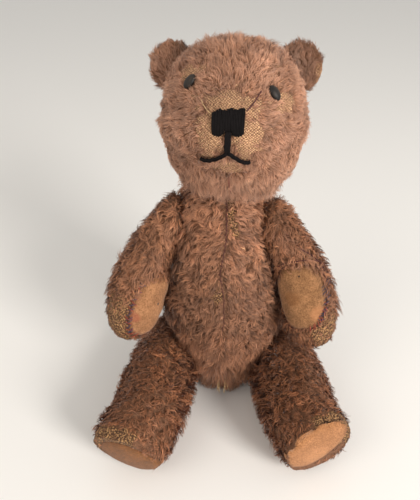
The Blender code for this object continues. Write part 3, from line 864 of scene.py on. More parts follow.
def mohair_finish():
    """Hairs take their own tint, with the painted shade it carries, dulled by old dirt in places."""
    finish = Finish("mohair_pile", 0.62, Sheen_Weight=0.12, Sheen_Roughness=0.4)
    soiled = finish.mix(finish.clouds(0.30, 0.72, 38.0, 4.0), (0.80, 0.76, 0.74), (1.06, 1.04, 1.02))
    finish.give("Base Color", finish.mix(1.0, finish.read("tint", "Color"), soiled, "MULTIPLY"))
    return finish.material


def backing_finish(name, dark, middle, light, looped):
    """Plain woven cotton backing, shown where the pile has gone, and painted dark brown under the pile as painted
    shade there; looped from 0, an even weave, to 1, where the roots of the pile are left in it as scattered specks."""
    finish = Finish(name, 0.92)
    axes = finish.add("ShaderNodeSeparateXYZ", Vector=finish.read("cloth"))
    waves = []
    for axis, scale in zip(axes.outputs, (300.0, 410.0)):
        wobble = finish.times(finish.noise(scale, 3.0, 0.65), 0.0036)
        waves.append(finish.math("SINE", finish.times(finish.plus(axis, wobble), math.pi / WEAVE_PITCH)))
    weave = finish.times(finish.plus(finish.times(*waves), 1.0), 0.5)
    specks = finish.clouds(0.45, 0.60, 920.0, 1.0)
    height = finish.add("ShaderNodeMix", {"data_type": "FLOAT"}, i0=looped, i2=weave, i3=specks).outputs[0]
    cotton = finish.ramp(height, (0.22, dark), (0.50, middle), (0.78, light))
    cotton = finish.mix(finish.times(finish.clouds(0.42, 0.66, 420.0, 4.0, 0.7), 0.50), cotton, middle)
    faded = finish.mix(finish.clouds(0.2, 0.8, 110.0), (0.74, 0.70, 0.66), (1.12, 1.08, 1.04))
    cotton = finish.mix(1.0, cotton, faded, "MULTIPLY")
    shown = finish.fade(finish.read("worn", "Fac"), 0.20, 0.70)
    # Painted shade: under the pile the backing is painted dark brown
    finish.give("Base Color", finish.mix(shown, (0.190, 0.088, 0.046), cotton))
    finish.bump(height, 0.8, 0.5 * MM)
    return finish.material


def felt_finish(name, light, dark, *stains):
    """Wool felt with matted fibres, gone pale where rubbed, with the stains of one pad and painted shade round its
    rim.
    """
    finish = Finish(name, 0.95, Sheen_Weight=0.12, Sheen_Roughness=0.5, Specular_IOR_Level=0.2)
    fibres = finish.noise(1000.0, 3.0, 0.85)
    felt = finish.mix(finish.clouds(0.30, 0.70, 120.0, 5.0, 0.65), dark, light)
    felt = finish.mix(finish.fade(fibres, 0.34, 0.62), finish.mix(1.0, felt, (0.46, 0.42, 0.36), "MULTIPLY"), felt)
    spot = finish.read("pad")
    ragged = finish.times(finish.noise(420.0), 0.5)
    for (x, y), radius, stain, strength in stains:
        gap = finish.add("ShaderNodeVectorMath", {"operation": "DISTANCE"}, i0=spot, i1=(x, y, 0.0))
        far = finish.plus(finish.math("DIVIDE", gap.outputs["Value"], radius), ragged)
        felt = finish.mix(finish.times(finish.fade(far, 1.45, 0.85), strength), felt, stain)
    # Painted shade: the felt darkens round its ragged rim, where the cloth gathers round the pad
    ragged_rim_shade = finish.plus(finish.read("rim", "Fac"), finish.times(ragged, 0.35))
    rim = finish.times(finish.fade(ragged_rim_shade, 0.92, 1.14), 0.7)
    finish.give("Base Color", finish.mix(rim, felt, (0.150, 0.062, 0.028)))
    finish.bump(fibres, 0.9, 0.5 * MM)
    return finish.material


def thread_finish(name, colour, roughness=0.6, gloss=0.3):
    """Twisted cotton: fine slanting plies and a slightly uneven dye."""
    finish = Finish(name, roughness, Specular_IOR_Level=gloss)
    slanting = {"bands_direction": "DIAGONAL"}
    plies = finish.add("ShaderNodeTexWave", slanting, Vector=finish.places, Scale=420.0, Distortion=3.0).outputs["Fac"]
    dull = tuple(c * 0.55 for c in colour)
    bright = tuple(min(c * 1.5, 1.0) for c in colour)
    finish.give("Base Color", finish.mix(finish.clouds(0.3, 0.7, 600.0, 2.0), finish.mix(plies, dull, colour), bright))
    finish.bump(plies, 0.5, 0.2 * MM)
    return finish.material


def eye_finish():
    """Old boot buttons, black lacquer rubbed dull and filmed with dust."""
    finish = Finish("boot_button_lacquer", 0.4, Specular_IOR_Level=0.25)
    dust = finish.clouds(0.38, 0.72, 260.0, 4.0)
    finish.give("Base Color", finish.mix(finish.times(dust, 0.8), (0.008, 0.006, 0.005), (0.045, 0.033, 0.025)))
    finish.give("Roughness", finish.plus(finish.times(dust, 0.30), 0.42))
    finish.bump(finish.noise(700.0), 0.25, 0.2 * MM)
    return finish.material


def plain_finish(name, low, high, roughness, scale, metallic=0.0):
    """The boards and steel of the joints, out of sight."""
    finish = Finish(name, roughness, Metallic=metallic)
    finish.give("Base Color", finish.mix(finish.noise(scale, 4.0), low, high))
    return finish.material


# ---- Threads ----------------------------------------------------------------------------


def threads(name, body, routes, radius, material, ends=0.5):
    """Lengths of thread along routes of points, as one piece; each thins towards its ends."""
    curve = bpy.data.curves.new(name, "CURVE")
    curve.dimensions = "3D"
    curve.bevel_depth, curve.bevel_resolution = radius, 2
    curve.use_fill_caps = True
    for route in routes:
        points = curve.splines.new("POLY").points
        points.add(len(route) - 1)
        for point, place in zip(points, route):
            point.co = (*place, 1.0)
        points[0].radius = points[-1].radius = ends
    return placed(name, curve, material, body)


def smooth_route(places, steps):
    """A smooth run of points through a few."""
    places = [np.array(p, float) for p in places]
    found = []
    for i in range(len(places) - 1):
        a, b, c, d = (places[min(max(i + k, 0), len(places) - 1)] for k in (-1, 0, 1, 2))
        for t in (k / steps for k in range(steps)):
            curve = 2 * b + (c - a) * t + (2 * a - 5 * b + 4 * c - d) * t**2 + (3 * b - a - 3 * c + d) * t**3
            found.append(0.5 * curve)
    return found + [places[-1]]


def on_face(places, stand):
    """A route over the face through places, each (across, up), this far off its skin."""
    return [face_point(tuple(place), stand)[0] for place in places]


def nose_edges(across):
    """The lower and upper ends of the nose's stitches, with two lobes below and a notch between."""
    s = across / 0.0098
    lobe = 0.0027 * math.exp(-(((abs(s) - 0.62) / 0.42) ** 4))
    low = -0.0086 - lobe + 0.0012 * abs(s) ** 10
    high = 0.0036 + 0.0008 * s + 0.0005 * math.sin(9 * s) - 0.0006 * abs(s) ** 5
    return low, high


def nose_stitches(material):
    """Satin stitches, in two layers, drawn tight over a padded middle."""
    routes = []
    draw = np.random.default_rng(3)
    for layer, count, stand in ((0, 16, 0.7 * MM), (1, 21, 1.4 * MM)):
        for i in range(count):
            s = (i + 0.5) / count * 2 - 1
            across = s * 0.0096
            low, high = nose_edges(across)
            low += draw.uniform(-0.5, 0.3) * MM
            high += draw.uniform(-0.3, 0.6) * MM
            lean = draw.uniform(-0.25, 0.25) * MM
            crown = 1 - 0.35 * abs(s) ** 3
            route = []
            for k in range(11):
                t = k / 10
                lift = (stand + 0.7 * MM * layer * crown) * math.sin(math.pi * min(max(t, 0.03), 0.97)) ** 0.35
                place = (across + lean * (2 * t - 1), low + (high - low) * t)
                route.append(face_point(place, lift - 0.5 * MM)[0])
            routes.append(route)
    nose = threads("nose_satin_stitches", "head", routes, 0.60 * MM, material, ends=0.8)
    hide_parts("nose_stitching")


# Each line of the mouth: how far apart its stitches lie, and its route
MOUTH = {
    "stem": ((-1.25, -0.4, 0.4, 1.25), (0.0003, -0.0085), (0.0000, -0.0150), (-0.0003, -0.0215)),
    "right": (
        (-0.55, 0.55),
        (-0.0003, -0.0215), (-0.0050, -0.0243), (-0.0105, -0.0264), (-0.0148, -0.0268), (-0.0176, -0.0260),
    ),
    "left": (
        (-0.55, 0.55),
        (0.0000, -0.0213), (0.0036, -0.0236), (0.0078, -0.0264), (0.0108, -0.0276), (0.0134, -0.0272),
    ),
}


def mouth_stitches(material):
    """Each line of the mouth is a few long stitches laid side by side."""
    draw = np.random.default_rng(8)
    for part, (spread, *places) in MOUTH.items():
        line = smooth_route(places, 6)
        last = len(line) - 1
        routes = []
        for shift in spread:
            route = []
            for i, place in enumerate(line):
                ahead = line[min(i + 1, last)] - line[max(i - 1, 0)]
                across = np.array((-ahead[1], ahead[0])) / max(np.linalg.norm(ahead), 1e-9)
                wobble = 0.12 * MM * math.sin(i * 1.3 + shift * 5) + draw.uniform(-0.08, 0.08) * MM
                end = min(i, last - i)
                place = place + across * (shift * MM * (0.75 if end < 2 else 1.0) + wobble)
                route += on_face([place], 1.0 * MM if end > 0 else -0.3 * MM)
            routes.append(route)
        thread = threads(f"mouth_{part}", "head", routes, 0.76 * MM, material, ends=0.35)
        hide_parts(f"mouth_{part}_stitch")


# ---- Eyes, ears and pads ----------------------------------------------------------------


def make_eye(side, material):
    place, out = face_point(EYES[side], -0.3 * MM)
    form = unit_ball(32, 20)
    bmesh.ops.scale(form, vec=(EYE_SIZE.x, EYE_SIZE.z, EYE_SIZE.y), verts=form.verts)
    lean = Matrix.Rotation(SIDES[side] * radians(14), 4, "Z")
    spot = pointing(out, Vector((0, 0, 1)), place) @ lean
    bmesh.ops.transform(form, matrix=spot, verts=form.verts)
    eye = finished(f"{side}_button_eye", form, material, "head")
    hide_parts(f"{side}_eye")


def ear_frame(side):
    place = Vector((SIDES[side] * EAR_PLACE.x, EAR_PLACE.y, EAR_PLACE.z))
    turn = Matrix.Rotation(SIDES[side] * EAR_TURN, 4, "Z")
    middle = Matrix.Translation(HEAD_CENTRE) @ HEAD_TURN.to_4x4() @ Matrix.Translation(place)
    return FRAMES["head"] @ middle @ turn


def ear_wear(side):
    """Rubbed at the inner edge and the lower outer edge of the left ear."""

    def wear(points):
        if side == "right":
            return 0.25 * np.clip(ripples(points, 9 * MM, 41), 0, 1)
        return patches(
            points,
            (0.8, -0.0125, 0.0010, 0.0045, 0.0080, 0.4),
            (0.7, 0.0140, -0.0035, 0.0035, 0.0060, 0.4),
        )

    return wear


def ear_cloth(side, material):
    """A cupped ear of two layers sewn round the rim."""
    form = unit_ball(48, 24)
    for vert in form.verts:
        x, y, z = vert.co
        fold = 1.2 * MM * math.exp(-((x * 2.2) ** 2)) * (y + 0.4)
        depth = z * EAR_THICKNESS - EAR_CUP * (x**2 + y**2) ** 1.3 + EAR_SET_BACK + fold
        vert.co = (x * EAR_RADIUS, depth, y * EAR_RADIUS)
    bmesh.ops.reverse_faces(form, faces=form.faces)
    local = np.array([v.co for v in form.verts])
    worn = ear_wear(side)(local)
    bmesh.ops.transform(form, matrix=ear_frame(side), verts=form.verts)
    ear = finished(f"{side}_ear_cloth", form, material, "head")
    attribute(ear.data, "worn", "FLOAT", worn)
    attribute(ear.data, "cloth", "FLOAT_VECTOR", local[:, (0, 2, 1)])
    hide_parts(f"{side}_ear")
    return Cloth("head", ear, local, worn, [])


def pad_edge(turn, size, rim=1.0):
    """(x, y) of a pad's rounded outline at this angle round it, or of the same outline drawn smaller or larger."""
    fit = (abs(math.cos(turn)) ** PAD_FULLNESS + abs(math.sin(turn)) ** PAD_FULLNESS) ** (1 / PAD_FULLNESS)
    across, along = math.cos(turn) / fit, math.sin(turn) / fit
    return across * size[0] * (1 + size[2] * along) * rim, along * size[1] * rim


def pad_point(tree, spot, x, y):
    """Where a line down the pad's axis, from well above it, meets the cloth, and the way out there."""
    hit, normal, _, _ = tree.ray_cast(spot @ Vector((x, y, 40 * MM)), -(spot.to_3x3() @ Vector((0, 0, 1))))
    if hit is None:
        hit, normal, _, _ = tree.find_nearest(spot @ Vector((x, y, 0)))
    return hit, normal


def felt_pad(name, cloth, spot, size, crown, material, node):
    """A felt pad that lies on the cloth, puckered round its rim by its stitches."""
    form = unit_ball(60, 24)
    pads, rims = [], []
    for vert in form.verts:
        place = vert.co.copy()
        rim, round_way = min(math.hypot(place.x, place.y), 1.0), math.atan2(place.y, place.x)
        x, y = pad_edge(round_way, size, rim)
        hit, normal = pad_point(cloth.tree, spot, x, y)
        pucker = 0.22 * MM * math.sin(30 * round_way) * rim**6
        bulge, hem = crown * (1 - rim**2.2), -0.5 * MM * rim**10
        vert.co = hit + normal * (0.75 * MM * place.z + 0.55 * MM + bulge + hem + pucker)
        pads.append((x, y, 0.0))
        rims.append(rim if place.z > -0.3 else 1.0)
    bmesh.ops.smooth_vert(form, verts=form.verts, factor=0.4, use_axis_x=True, use_axis_y=True, use_axis_z=True)
    pad = finished(name, form, material, cloth.body)
    attribute(pad.data, "pad", "FLOAT_VECTOR", pads)
    attribute(pad.data, "rim", "FLOAT", rims)
    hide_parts(node)


def stitch_round(cloth, spot, size, turns, reach, draw, slant):
    """Short stitches across a pad's rim, at these angles round it."""
    routes = []
    for turn in turns:
        route = []
        inner, outer = 1 - reach * draw.uniform(0.7, 1.3), 1 + reach * draw.uniform(0.7, 1.3)
        for t in np.linspace(0, 1, 5):
            edge = pad_edge(turn + slant * (t - 0.5), size, inner + (outer - inner) * t)
            hit, normal = pad_point(cloth.tree, spot, *edge)
            route.append(hit + normal * (1.2 * MM * math.sin(math.pi * t) ** 0.5 + 0.5 * MM))
        routes.append(route)
    return routes


# ---- How each part's pile lies ----------------------------------------------------------

PILE = np.array((0.452, 0.217, 0.122))
FLUFF = np.array((0.585, 0.322, 0.212))
MATTED = np.array((0.300, 0.126, 0.056))
# The roots are painted warmer, as painted shade down in the pile, and the tips paler, as painted light on them
ROOT_SHADE_TINT, TIP_LIGHT_TINT, GOLDEN = np.array((1.04, 0.86, 0.70)), np.array((0.98, 1.03, 1.08)), np.array((1.35, 1.30, 1.10))


def head_lie(points):
    """Outward from the nose all over the face, and down over the back and the jaw."""
    face = face_places(points)
    away = unit(face - np.array((0.0, -0.070, 0.004)))
    away[:, 2] -= 1.1 * rise(face[:, 1], -0.015, 0.020) + 0.5 * rise(-face[:, 2], 0.005, 0.040)
    return away @ np.array(HEAD_TURN).T


def cheek_bottoms(face):
    """1 low on the sides of the head, where the pile lies close."""
    return rise(np.abs(face[:, 0]), 0.026, 0.040) * rise(-face[:, 2], 0.008, 0.024)


def head_length(points):
    """Short on the muzzle, longer on the crown and longest under the jaw."""
    face = face_places(points)
    near = fall(np.linalg.norm(face - np.array((0, -0.066, -0.005)), axis=1), 0.018, 0.042)
    crown, jaw = rise(face[:, 2], 0.020, 0.050), rise(-face[:, 2], 0.018, 0.050)
    return (5.4 + 2.2 * crown + 2.4 * jaw) * MM * (1 - 0.35 * near) * (1 - 0.45 * cheek_bottoms(face))


def head_lift(points):
    return 0.62 - 0.26 * cheek_bottoms(face_places(points))


def head_sag(points):
    """The long pile of the jaw hangs down over the neck."""
    return 0.40 * rise(-face_places(points)[:, 2], 0.034, 0.054)


def zone(points, **spans):
    """1 inside spans of x, y, z and side, the distance out to either side; each runs from its 0 to its 1."""
    x, y, z = points.T
    places, found = {"x": x, "y": y, "z": z, "side": np.abs(x)}, 1.0
    for axis, (none, full) in spans.items():
        found = found * (rise(places[axis], none, full) if none < full else fall(places[axis], full, none))
    return found


def front_of(points):
    """1 on the front half of the torso."""
    return zone(points, y=(0.02, -0.02))


def from_seam(points):
    """How far to the side of the belly seam, and how near its parted stretch, down to the lower belly."""
    return points[:, 0] - seam_across(points[:, 2]), rise(points[:, 2], 0.070, 0.080)


def flanks(points):
    """1 low on the torso's sides, where long pile stands out over the thighs."""
    return zone(points, side=(0.032, 0.046), z=(0.115, 0.088))


def shoulder_front(points):
    """1 on the front of the torso beside the arms, where its pile runs over onto them."""
    return zone(points, y=(0.006, -0.018), side=(0.026, 0.040), z=(0.120, 0.148))


def under_arm_shade(points):
    """1 under the arms, where shade is painted into the pile."""
    return zone(points, side=(0.030, 0.043), y=(0.02, 0.0), z=(0.080, 0.100)) * zone(points, z=(0.150, 0.132))


def torso_lie(points):
    """Down, and away from the front seam."""
    x, _, z = points.T
    (off, _), front = from_seam(points), front_of(points)
    near = fall(np.abs(off), 3 * MM, 10 * MM)
    sideways = np.tanh(off / 0.004) * (0.35 + 0.35 * rise(z, 0.07, 0.15) + 0.7 * near) * front
    collar = zone(points, z=(0.172, 0.190), side=(0.010, 0.030))
    sideways += np.sign(x) * (0.8 * collar + 0.7 * shoulder_front(points))
    sideways -= 0.40 * fall(z, 0.030, 0.075) * front
    sideways += np.sign(x) * 1.2 * flanks(points)
    return np.stack([sideways, np.zeros(len(points)), 0.9 * collar - 1], axis=1)


def torso_length(points):
    """Long at the neck, low on the sides and on the lower belly, and flattened along the front seam."""
    off, parted = from_seam(points)
    low = zone(points, z=(0.095, 0.040), y=(0.03, 0.0))
    neck = zone(points, z=(0.160, 0.182)) * (1 - 0.8 * zone(points, side=(0.026, 0.040)))
    parted = zone(points, y=(0.03, 0.0)) * fall(np.abs(off), 0.9 * MM, 3.6 * MM) * parted
    longer = 5.0 * low + 3.5 * low * zone(points, x=(0.008, -0.012)) + 7.0 * flanks(points) + 3.6 * neck
    return (6.4 + longer + 3.4 * shoulder_front(points)) * MM * (1 - 0.85 * parted)


def torso_unruly(points):
    """The pile keeps its lie beside the front seam and hangs straight on the lower belly."""
    (off, parted), front = from_seam(points), front_of(points)
    beside_seam = front * fall(np.abs(off), 3 * MM, 9 * MM) * parted
    return (1 - 0.70 * beside_seam) * (1 - 0.60 * zone(points, z=(0.085, 0.040)) * front)


def torso_lift(points):
    """The pile stands out at the neck and down the front of the belly."""
    neck, belly = zone(points, z=(0.168, 0.188), side=(0.040, 0.026)), zone(points, z=(0.080, 0.030), y=(0.02, -0.02))
    return 0.60 + 0.22 * neck + 0.10 * belly


def torso_sag(points):
    return 0.55 * zone(points, z=(0.060, 0.015)) * front_of(points)


def limb_lie(points):
    return np.tile(np.array((0.0, -0.15, -1.0)), (len(points), 1))


def ear_lie(points):
    return (points - np.array((0.0, 0.0, -0.016))) * np.array((1.0, 0.3, 1.0))


def arm_length(side):
    """Shorter round the paw, and flattened along the sleeve seam of the left arm."""

    def length(points):
        x, _, z = points.T
        inner_top = rise(z, -0.040, -0.015) * fall(x * SIDES[side], 0.004, 0.014)
        found = (6.6 - 1.6 * fall(z, -0.095, -0.070) + 2.4 * inner_top) * MM
        return found * (1 - 0.90 * beside(points, ARM_SEAM, 3.6 * MM)) if side == "left" else found

    return length


def inner_thigh(side, points):
    """1 on the inside of a thigh, which never was rubbed."""
    x, _, z = points.T
    return fall(x * SIDES[side], 0.002, 0.018) * (rise(-z, 0.015, 0.035) * fall(-z, 0.075, 0.105))


def leg_length(side):
    """Long and fluffy inside the thigh, and short round the sole."""
    sole, way, _ = sole_of(side)
    fluff = {"left": 12.0, "right": 5.5}[side]

    def length(points):
        rim = fall(-((points - np.array(sole)) @ np.array(way)), 0.001, 0.012)
        under = rim * rise(points[:, 1], 0.004, 0.014)
        return (6.6 + fluff * inner_thigh(side, points)) * MM * (1 - 0.45 * rim - 0.42 * under)

    return length


def leg_lift(side):
    """The fluff inside the thigh stands well out."""
    return lambda points: 0.60 + 0.28 * inner_thigh(side, points)


def same(value):
    return lambda points: np.full(len(points), value)


def shade(colour, low, seed, amount=0.12):
    """A tone that drifts over the body, from one colour to a browner one, with painted shade in the hollows of the
    pile's relief.
    """

    def tone(points):
        drift = low * np.clip(0.5 + 0.5 * ripples(points, 30 * MM, seed), 0, 1)[:, None]
        # Painted shade in the hollows, and a fine random mottle
        uneven = 1 + amount * relief(points) + 0.5 * amount * ripples(points, 5 * MM, seed + 1)
        return (colour * (1 - drift) + MATTED * drift) * uneven[:, None]

    return tone


def torso_tone(points):
    """Faded at the top, with painted shade under the arms, and less matted on the belly."""
    upper, lower = shade(PILE, 0.40, 61, 0.34)(points), shade(PILE * 0.97, 0.25, 63, 0.28)(points)
    # Painted shade under the arms
    upper *= ((0.74 + 0.54 * zone(points, z=(0.100, 0.172))) * (1 - 0.55 * under_arm_shade(points)))[:, None]
    lower *= (1 - 0.16 * zone(points, z=(0.045, 0.080)))[:, None]
    fluffy = zone(points, z=(0.120, 0.075))[:, None]
    return upper * (1 - fluffy) + lower * fluffy


def arm_tone(side):
    """The right sleeve has faded more than the left."""
    return shade(PILE * {"right": (1.02, 0.98, 0.90), "left": (0.88, 0.82, 0.74)}[side], 0.50, 71, 0.20)


def ear_tone(side):
    """Pale at the rim and darkest in the cup, where shade is painted into the crease."""
    middle, rest = {"right": (0.55, 0.79), "left": (-0.25, 0.62)}[side]

    def tone(points):
        across, up = (points[:, 0] / EAR_RADIUS - middle) / 0.34, points[:, 2] / (0.75 * EAR_RADIUS)
        # Painted shade in the cup of the ear
        cup_shade = np.exp(-(across**2) - up**2) * fall(points[:, 1], -0.004, 0.004)
        return shade(FLUFF * rest, 0.25, 91, 0.16)(points) * (1 - 0.88 * cup_shade[:, None])

    return tone


# How each part's pile grows:
# curl, and its turns along a hair; stray and swirl, how far and how widely the lie drifts; tuft and jitter, the
# spread of the lie from lock to lock and hair to hair; mottle, the spread of tone; lock, a lock's width; pull,
# how far its hairs lean together; width, a hair's; root, how dark its root is painted, as shade down in the pile;
# levels, points along a hair; round, how far a lock is shaded as a round one; loss, how much of the pile is lost
# where it is worn.
COAT = dict(unruly=same(1.0), sag=same(0.0), loss=0.72)
COATS = {
    "head": dict(
        COAT, lie=head_lie, length=head_length, lift=head_lift, sag=head_sag, tone=shade(FLUFF, 0.30, 51, 0.20),
        loss=0.64, curl=0.90 * MM, turns=0.8, stray=0.60, swirl=11 * MM, tuft=0.24, round=0.40, mottle=0.08,
        jitter=0.26, lock=2.2 * MM, pull=0.40, width=0.29 * MM, root=0.62, levels=3,
    ),
    "body": dict(
        COAT, lie=torso_lie, length=torso_length, lift=torso_lift, sag=torso_sag, tone=torso_tone,
        unruly=torso_unruly, curl=1.30 * MM, turns=0.85, stray=0.75, swirl=10 * MM, tuft=0.38, round=0.60,
        mottle=0.15, jitter=0.22, lock=2.3 * MM, pull=0.58, width=0.42 * MM, root=0.34, levels=4,
    ),
    "arm": dict(
        COAT, lie=limb_lie, lift=same(0.60), curl=1.25 * MM, turns=0.9, stray=0.80, swirl=9 * MM, tuft=0.45,
        round=0.55, mottle=0.13, jitter=0.20, lock=2.2 * MM, pull=0.56, width=0.43 * MM, root=0.42, levels=4,
    ),
    # The legs' tone is darker and browner than the body's, partly for matting and partly as painted shade
    "leg": dict(
        COAT, lie=limb_lie, tone=shade(PILE * (0.98, 0.86, 0.73), 0.42, 81, 0.28), curl=1.35 * MM, turns=0.9,
        stray=0.85, swirl=9 * MM, tuft=0.50, round=0.60, mottle=0.14, jitter=0.20, lock=2.3 * MM, pull=0.56,
        width=0.44 * MM, root=0.36, levels=4,
    ),
    "ear": dict(
        COAT, lie=ear_lie, length=same(4.2 * MM), lift=same(0.50), curl=0.80 * MM, turns=0.7, stray=0.40,
        swirl=8 * MM, tuft=0.20, round=0.40, mottle=0.08, jitter=0.22, lock=2.2 * MM, pull=0.38, width=0.31 * MM,
        root=0.60, levels=3,
    ),
}


def half(out, middle=0.0):
    """A mask of one side of a form: the left where out is 1, and the right where it is -1."""
    return lambda points: np.where((points[:, 0] >= middle) == (out > 0), 1.0, 0.0)


def bare_under(spot, size):
    """A mask that keeps pile out from under a pad whose frame, in the body's own frame, is spot."""
    back = np.array(spot.inverted())

    def keep(points):
        x, y, z = (points @ back[:3, :3].T + back[:3, 3]).T
        across = x / (size[0] * (1 + size[2] * np.clip(y / size[1], -1, 1)))
        fit = (np.abs(across) ** PAD_FULLNESS + np.abs(y / size[1]) ** PAD_FULLNESS) ** (1 / PAD_FULLNESS)
        return np.where((fit < 0.94) & (z > -0.004), 0.0, 1.0)

    return keep


def clear_face(points):
    """A mask that keeps pile off the eyes, and off the middle of the nose."""
    face = face_places(points)
    keep, front = np.ones(len(points)), face[:, 1] < -0.02
    ovals = [((0.0, -0.0035), (0.0105, 0.0080), 1.0)]
    for side, shift, size in (("left", 1.1 * MM, 0.60), ("right", 1.6 * MM, 1.35)):
        across, up = EYES[side]
        ovals.append(((across + shift, up), (EYE_SIZE.x, EYE_SIZE.z), size))
    for (across, up), (wide, tall), size in ovals:
        keep[front & (np.hypot((face[:, 0] - across) / wide, (face[:, 2] - up) / tall) < size)] = 0
    return keep


def ear_keep(side):
    """Pile only on the part of an ear that stands out of the head."""
    inward = FRAMES["head"].inverted() @ ear_frame(side)
    turn, shift = np.array(inward.to_3x3()), np.array(inward.translation)

    def keep(points):
        skull = np.linalg.norm(face_places(points @ turn.T + shift) / np.array(SKULL), axis=1)
        return np.where(skull > 0.93, 1.0, 0.0)

    return keep


# ---- The bear, part by part --------------------------------------------------------------


def build_torso(cotton, mohair, seam_thread, loose):
    cloth = stuffed_cloth("body_cloth", "body", torso_shape, (88, 64), torso_wear, cotton)
    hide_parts("body_cover", "body_stuffing")
    for (side, out), seed in zip(SIDES.items(), (201, 202)):
        grow_pile(f"body_{side}_pile", cloth, half(out), HAIRS["body"], COATS["body"], mohair, seed)
    belly_seam(cloth, seam_thread)
    hanging_threads(cloth, loose)


def hanging_threads(cloth, material):
    """Golden ends of backing that have come loose under the belly."""
    draw = np.random.default_rng(29)
    routes = []
    for _ in range(6):
        root = Vector((draw.uniform(-0.016, -0.002), -0.046, draw.uniform(0.000, 0.010)))
        hit, normal, _, _ = cloth.tree.find_nearest(FRAMES["body"] @ root)
        reach, bend = draw.uniform(12, 17) * MM, draw.uniform(-2.5, 2.5) * MM
        route = []
        for t in np.linspace(0, 1, 7):
            spot = hit + normal * 2 * MM * t + Vector((bend * t * t, -reach * t, -0.4 * reach * t * t))
            route.append((spot.x, spot.y, max(spot.z, 0.6 * MM)))
        routes.append(route)
    threads("loose_threads_under_belly", "body", routes, 0.22 * MM, material)


def belly_seam(cloth, material):
    """The front seam, with its hand stitches drawn across where it was closed again."""
    place = FRAMES["body"]
    sideways, inward, _ = place.to_3x3().transposed()
    spots = []
    for height in np.linspace(0.186, 0.074, 60):
        across = float(seam_across(height)) + 0.3 * MM * math.sin(height * 900)
        spots.append(cloth.tree.ray_cast(place @ Vector((across, -0.12, height)), inward)[:2])
    routes = [[hit + normal * 0.35 * MM for hit, normal in spots]]
    for i in range(2, 34, 2):
        (hit, normal), (below, _) = spots[i : i + 2]
        aside, up = sideways * 1.2 * MM, normal * 0.3 * MM
        routes.append([hit - aside + up, (hit + below) / 2 + normal * 1.5 * MM, below + aside + up])
    threads("belly_seam_thread", "body", routes, 0.28 * MM, material)


def build_head(cotton, mohair, black, seam_thread, red_thread, lacquer, loose):
    cloth = stuffed_cloth("head_cloth", "head", head_shape, (96, 72), head_wear, cotton, slack=0.6)
    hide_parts("head_cover", "head_stuffing")
    for (side, out), seed in zip(SIDES.items(), (211, 212)):
        on_side = half(out, HEAD_CENTRE.x)
        grow_pile(
            f"head_{side}_pile", cloth, lambda points: clear_face(points) * on_side(points),
            HAIRS["head"], COATS["head"], mohair, seed,
        )
    nose_stitches(black)
    mouth_stitches(black)
    for side, seed in (("left", 224), ("right", 225)):
        make_eye(side, lacquer)
        coat = dict(COATS["ear"], tone=ear_tone(side))
        grow_pile(f"{side}_ear_pile", ear_cloth(side, cotton), ear_keep(side), HAIRS["ear"], coat, mohair, seed)
    gusset = smooth_route(((0.0105, 0.0030), (0.0138, 0.0066), (0.0166, 0.0108), (0.0190, 0.0150)), 6)
    threads("head_gusset_seam", "head", [on_face(gusset, 0.1 * MM)], 0.42 * MM, seam_thread)
    chin = smooth_route(((0.0000, -0.0375), (-0.0004, -0.0430), (0.0000, -0.0480), (0.0004, -0.0520)), 6)
    threads("chin_seam", "head", [on_face(chin, 2.6 * MM)], 0.24 * MM, red_thread)
    whisker = smooth_route(((-0.0100, 0.0010), (-0.0135, 0.0040), (-0.0165, 0.0085)), 6)
    stray = [on_face([place], (0.3 + 0.14 * i) * MM)[0] for i, place in enumerate(whisker)]
    threads("loose_thread_by_nose", "head", [stray], 0.16 * MM, loose)


def build_arm(side, cotton, mohair, felt, seam_thread):
    out, body = SIDES[side], f"{side}_arm"
    palm = palm_of(side)
    keep_off_pad = bare_under(palm, PAW_PAD[side])
    wear = arm_wear(side)

    def bald(points):
        return most(wear(points), 1 - keep_off_pad(points))

    cloth = stuffed_cloth(f"{body}_cloth", body, arm_shape, (64, 56), bald, cotton, out)
    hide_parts(f"{body}_cover", f"{body}_stuffing")
    # The cloth is bald under the pad, but the pile beside the pad is only as worn as the paw
    cloth.worn = wear(cloth.local)
    coat = dict(COATS["arm"], length=arm_length(side), tone=arm_tone(side))
    grow_pile(f"{body}_pile", cloth, keep_off_pad, HAIRS["arm"], coat, mohair, 231 + int(out))
    if side == "left":
        seam = [cloth.tree.find_nearest(FRAMES[body] @ Vector(place)) for place in smooth_route(ARM_SEAM, 8)]
        route = [hit + normal * 0.3 * MM for hit, normal, _, _ in seam]
        threads("left_sleeve_seam", body, [route], 0.50 * MM, seam_thread)
    spot = FRAMES[body] @ palm
    felt_pad(f"{body}_felt_pad", cloth, spot, PAW_PAD[side], 0.8 * MM, felt, f"{side}_paw_pad")
    return cloth, spot


def build_leg(side, cotton, mohair, felt):
    out, body = SIDES[side], f"{side}_leg"
    sole, way, toe = sole_of(side)
    spot = pointing(way, toe, sole - toe * SOLE_PAD_DROP[side])
    cloth = stuffed_cloth(f"{body}_cloth", body, leg_shape(side), (64, 64), leg_wear(side), cotton, out)
    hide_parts(f"{body}_cover", f"{body}_stuffing")
    coat = dict(COATS["leg"], length=leg_length(side), lift=leg_lift(side))
    keep_off_pad = bare_under(spot, SOLE_PAD[side])
    grow_pile(f"{body}_pile", cloth, keep_off_pad, HAIRS["leg"], coat, mohair, 241 + int(out))
    felt_pad(f"{body}_felt_pad", cloth, FRAMES[body] @ spot, SOLE_PAD[side], 1.4 * MM, felt, f"{side}_foot_pad")


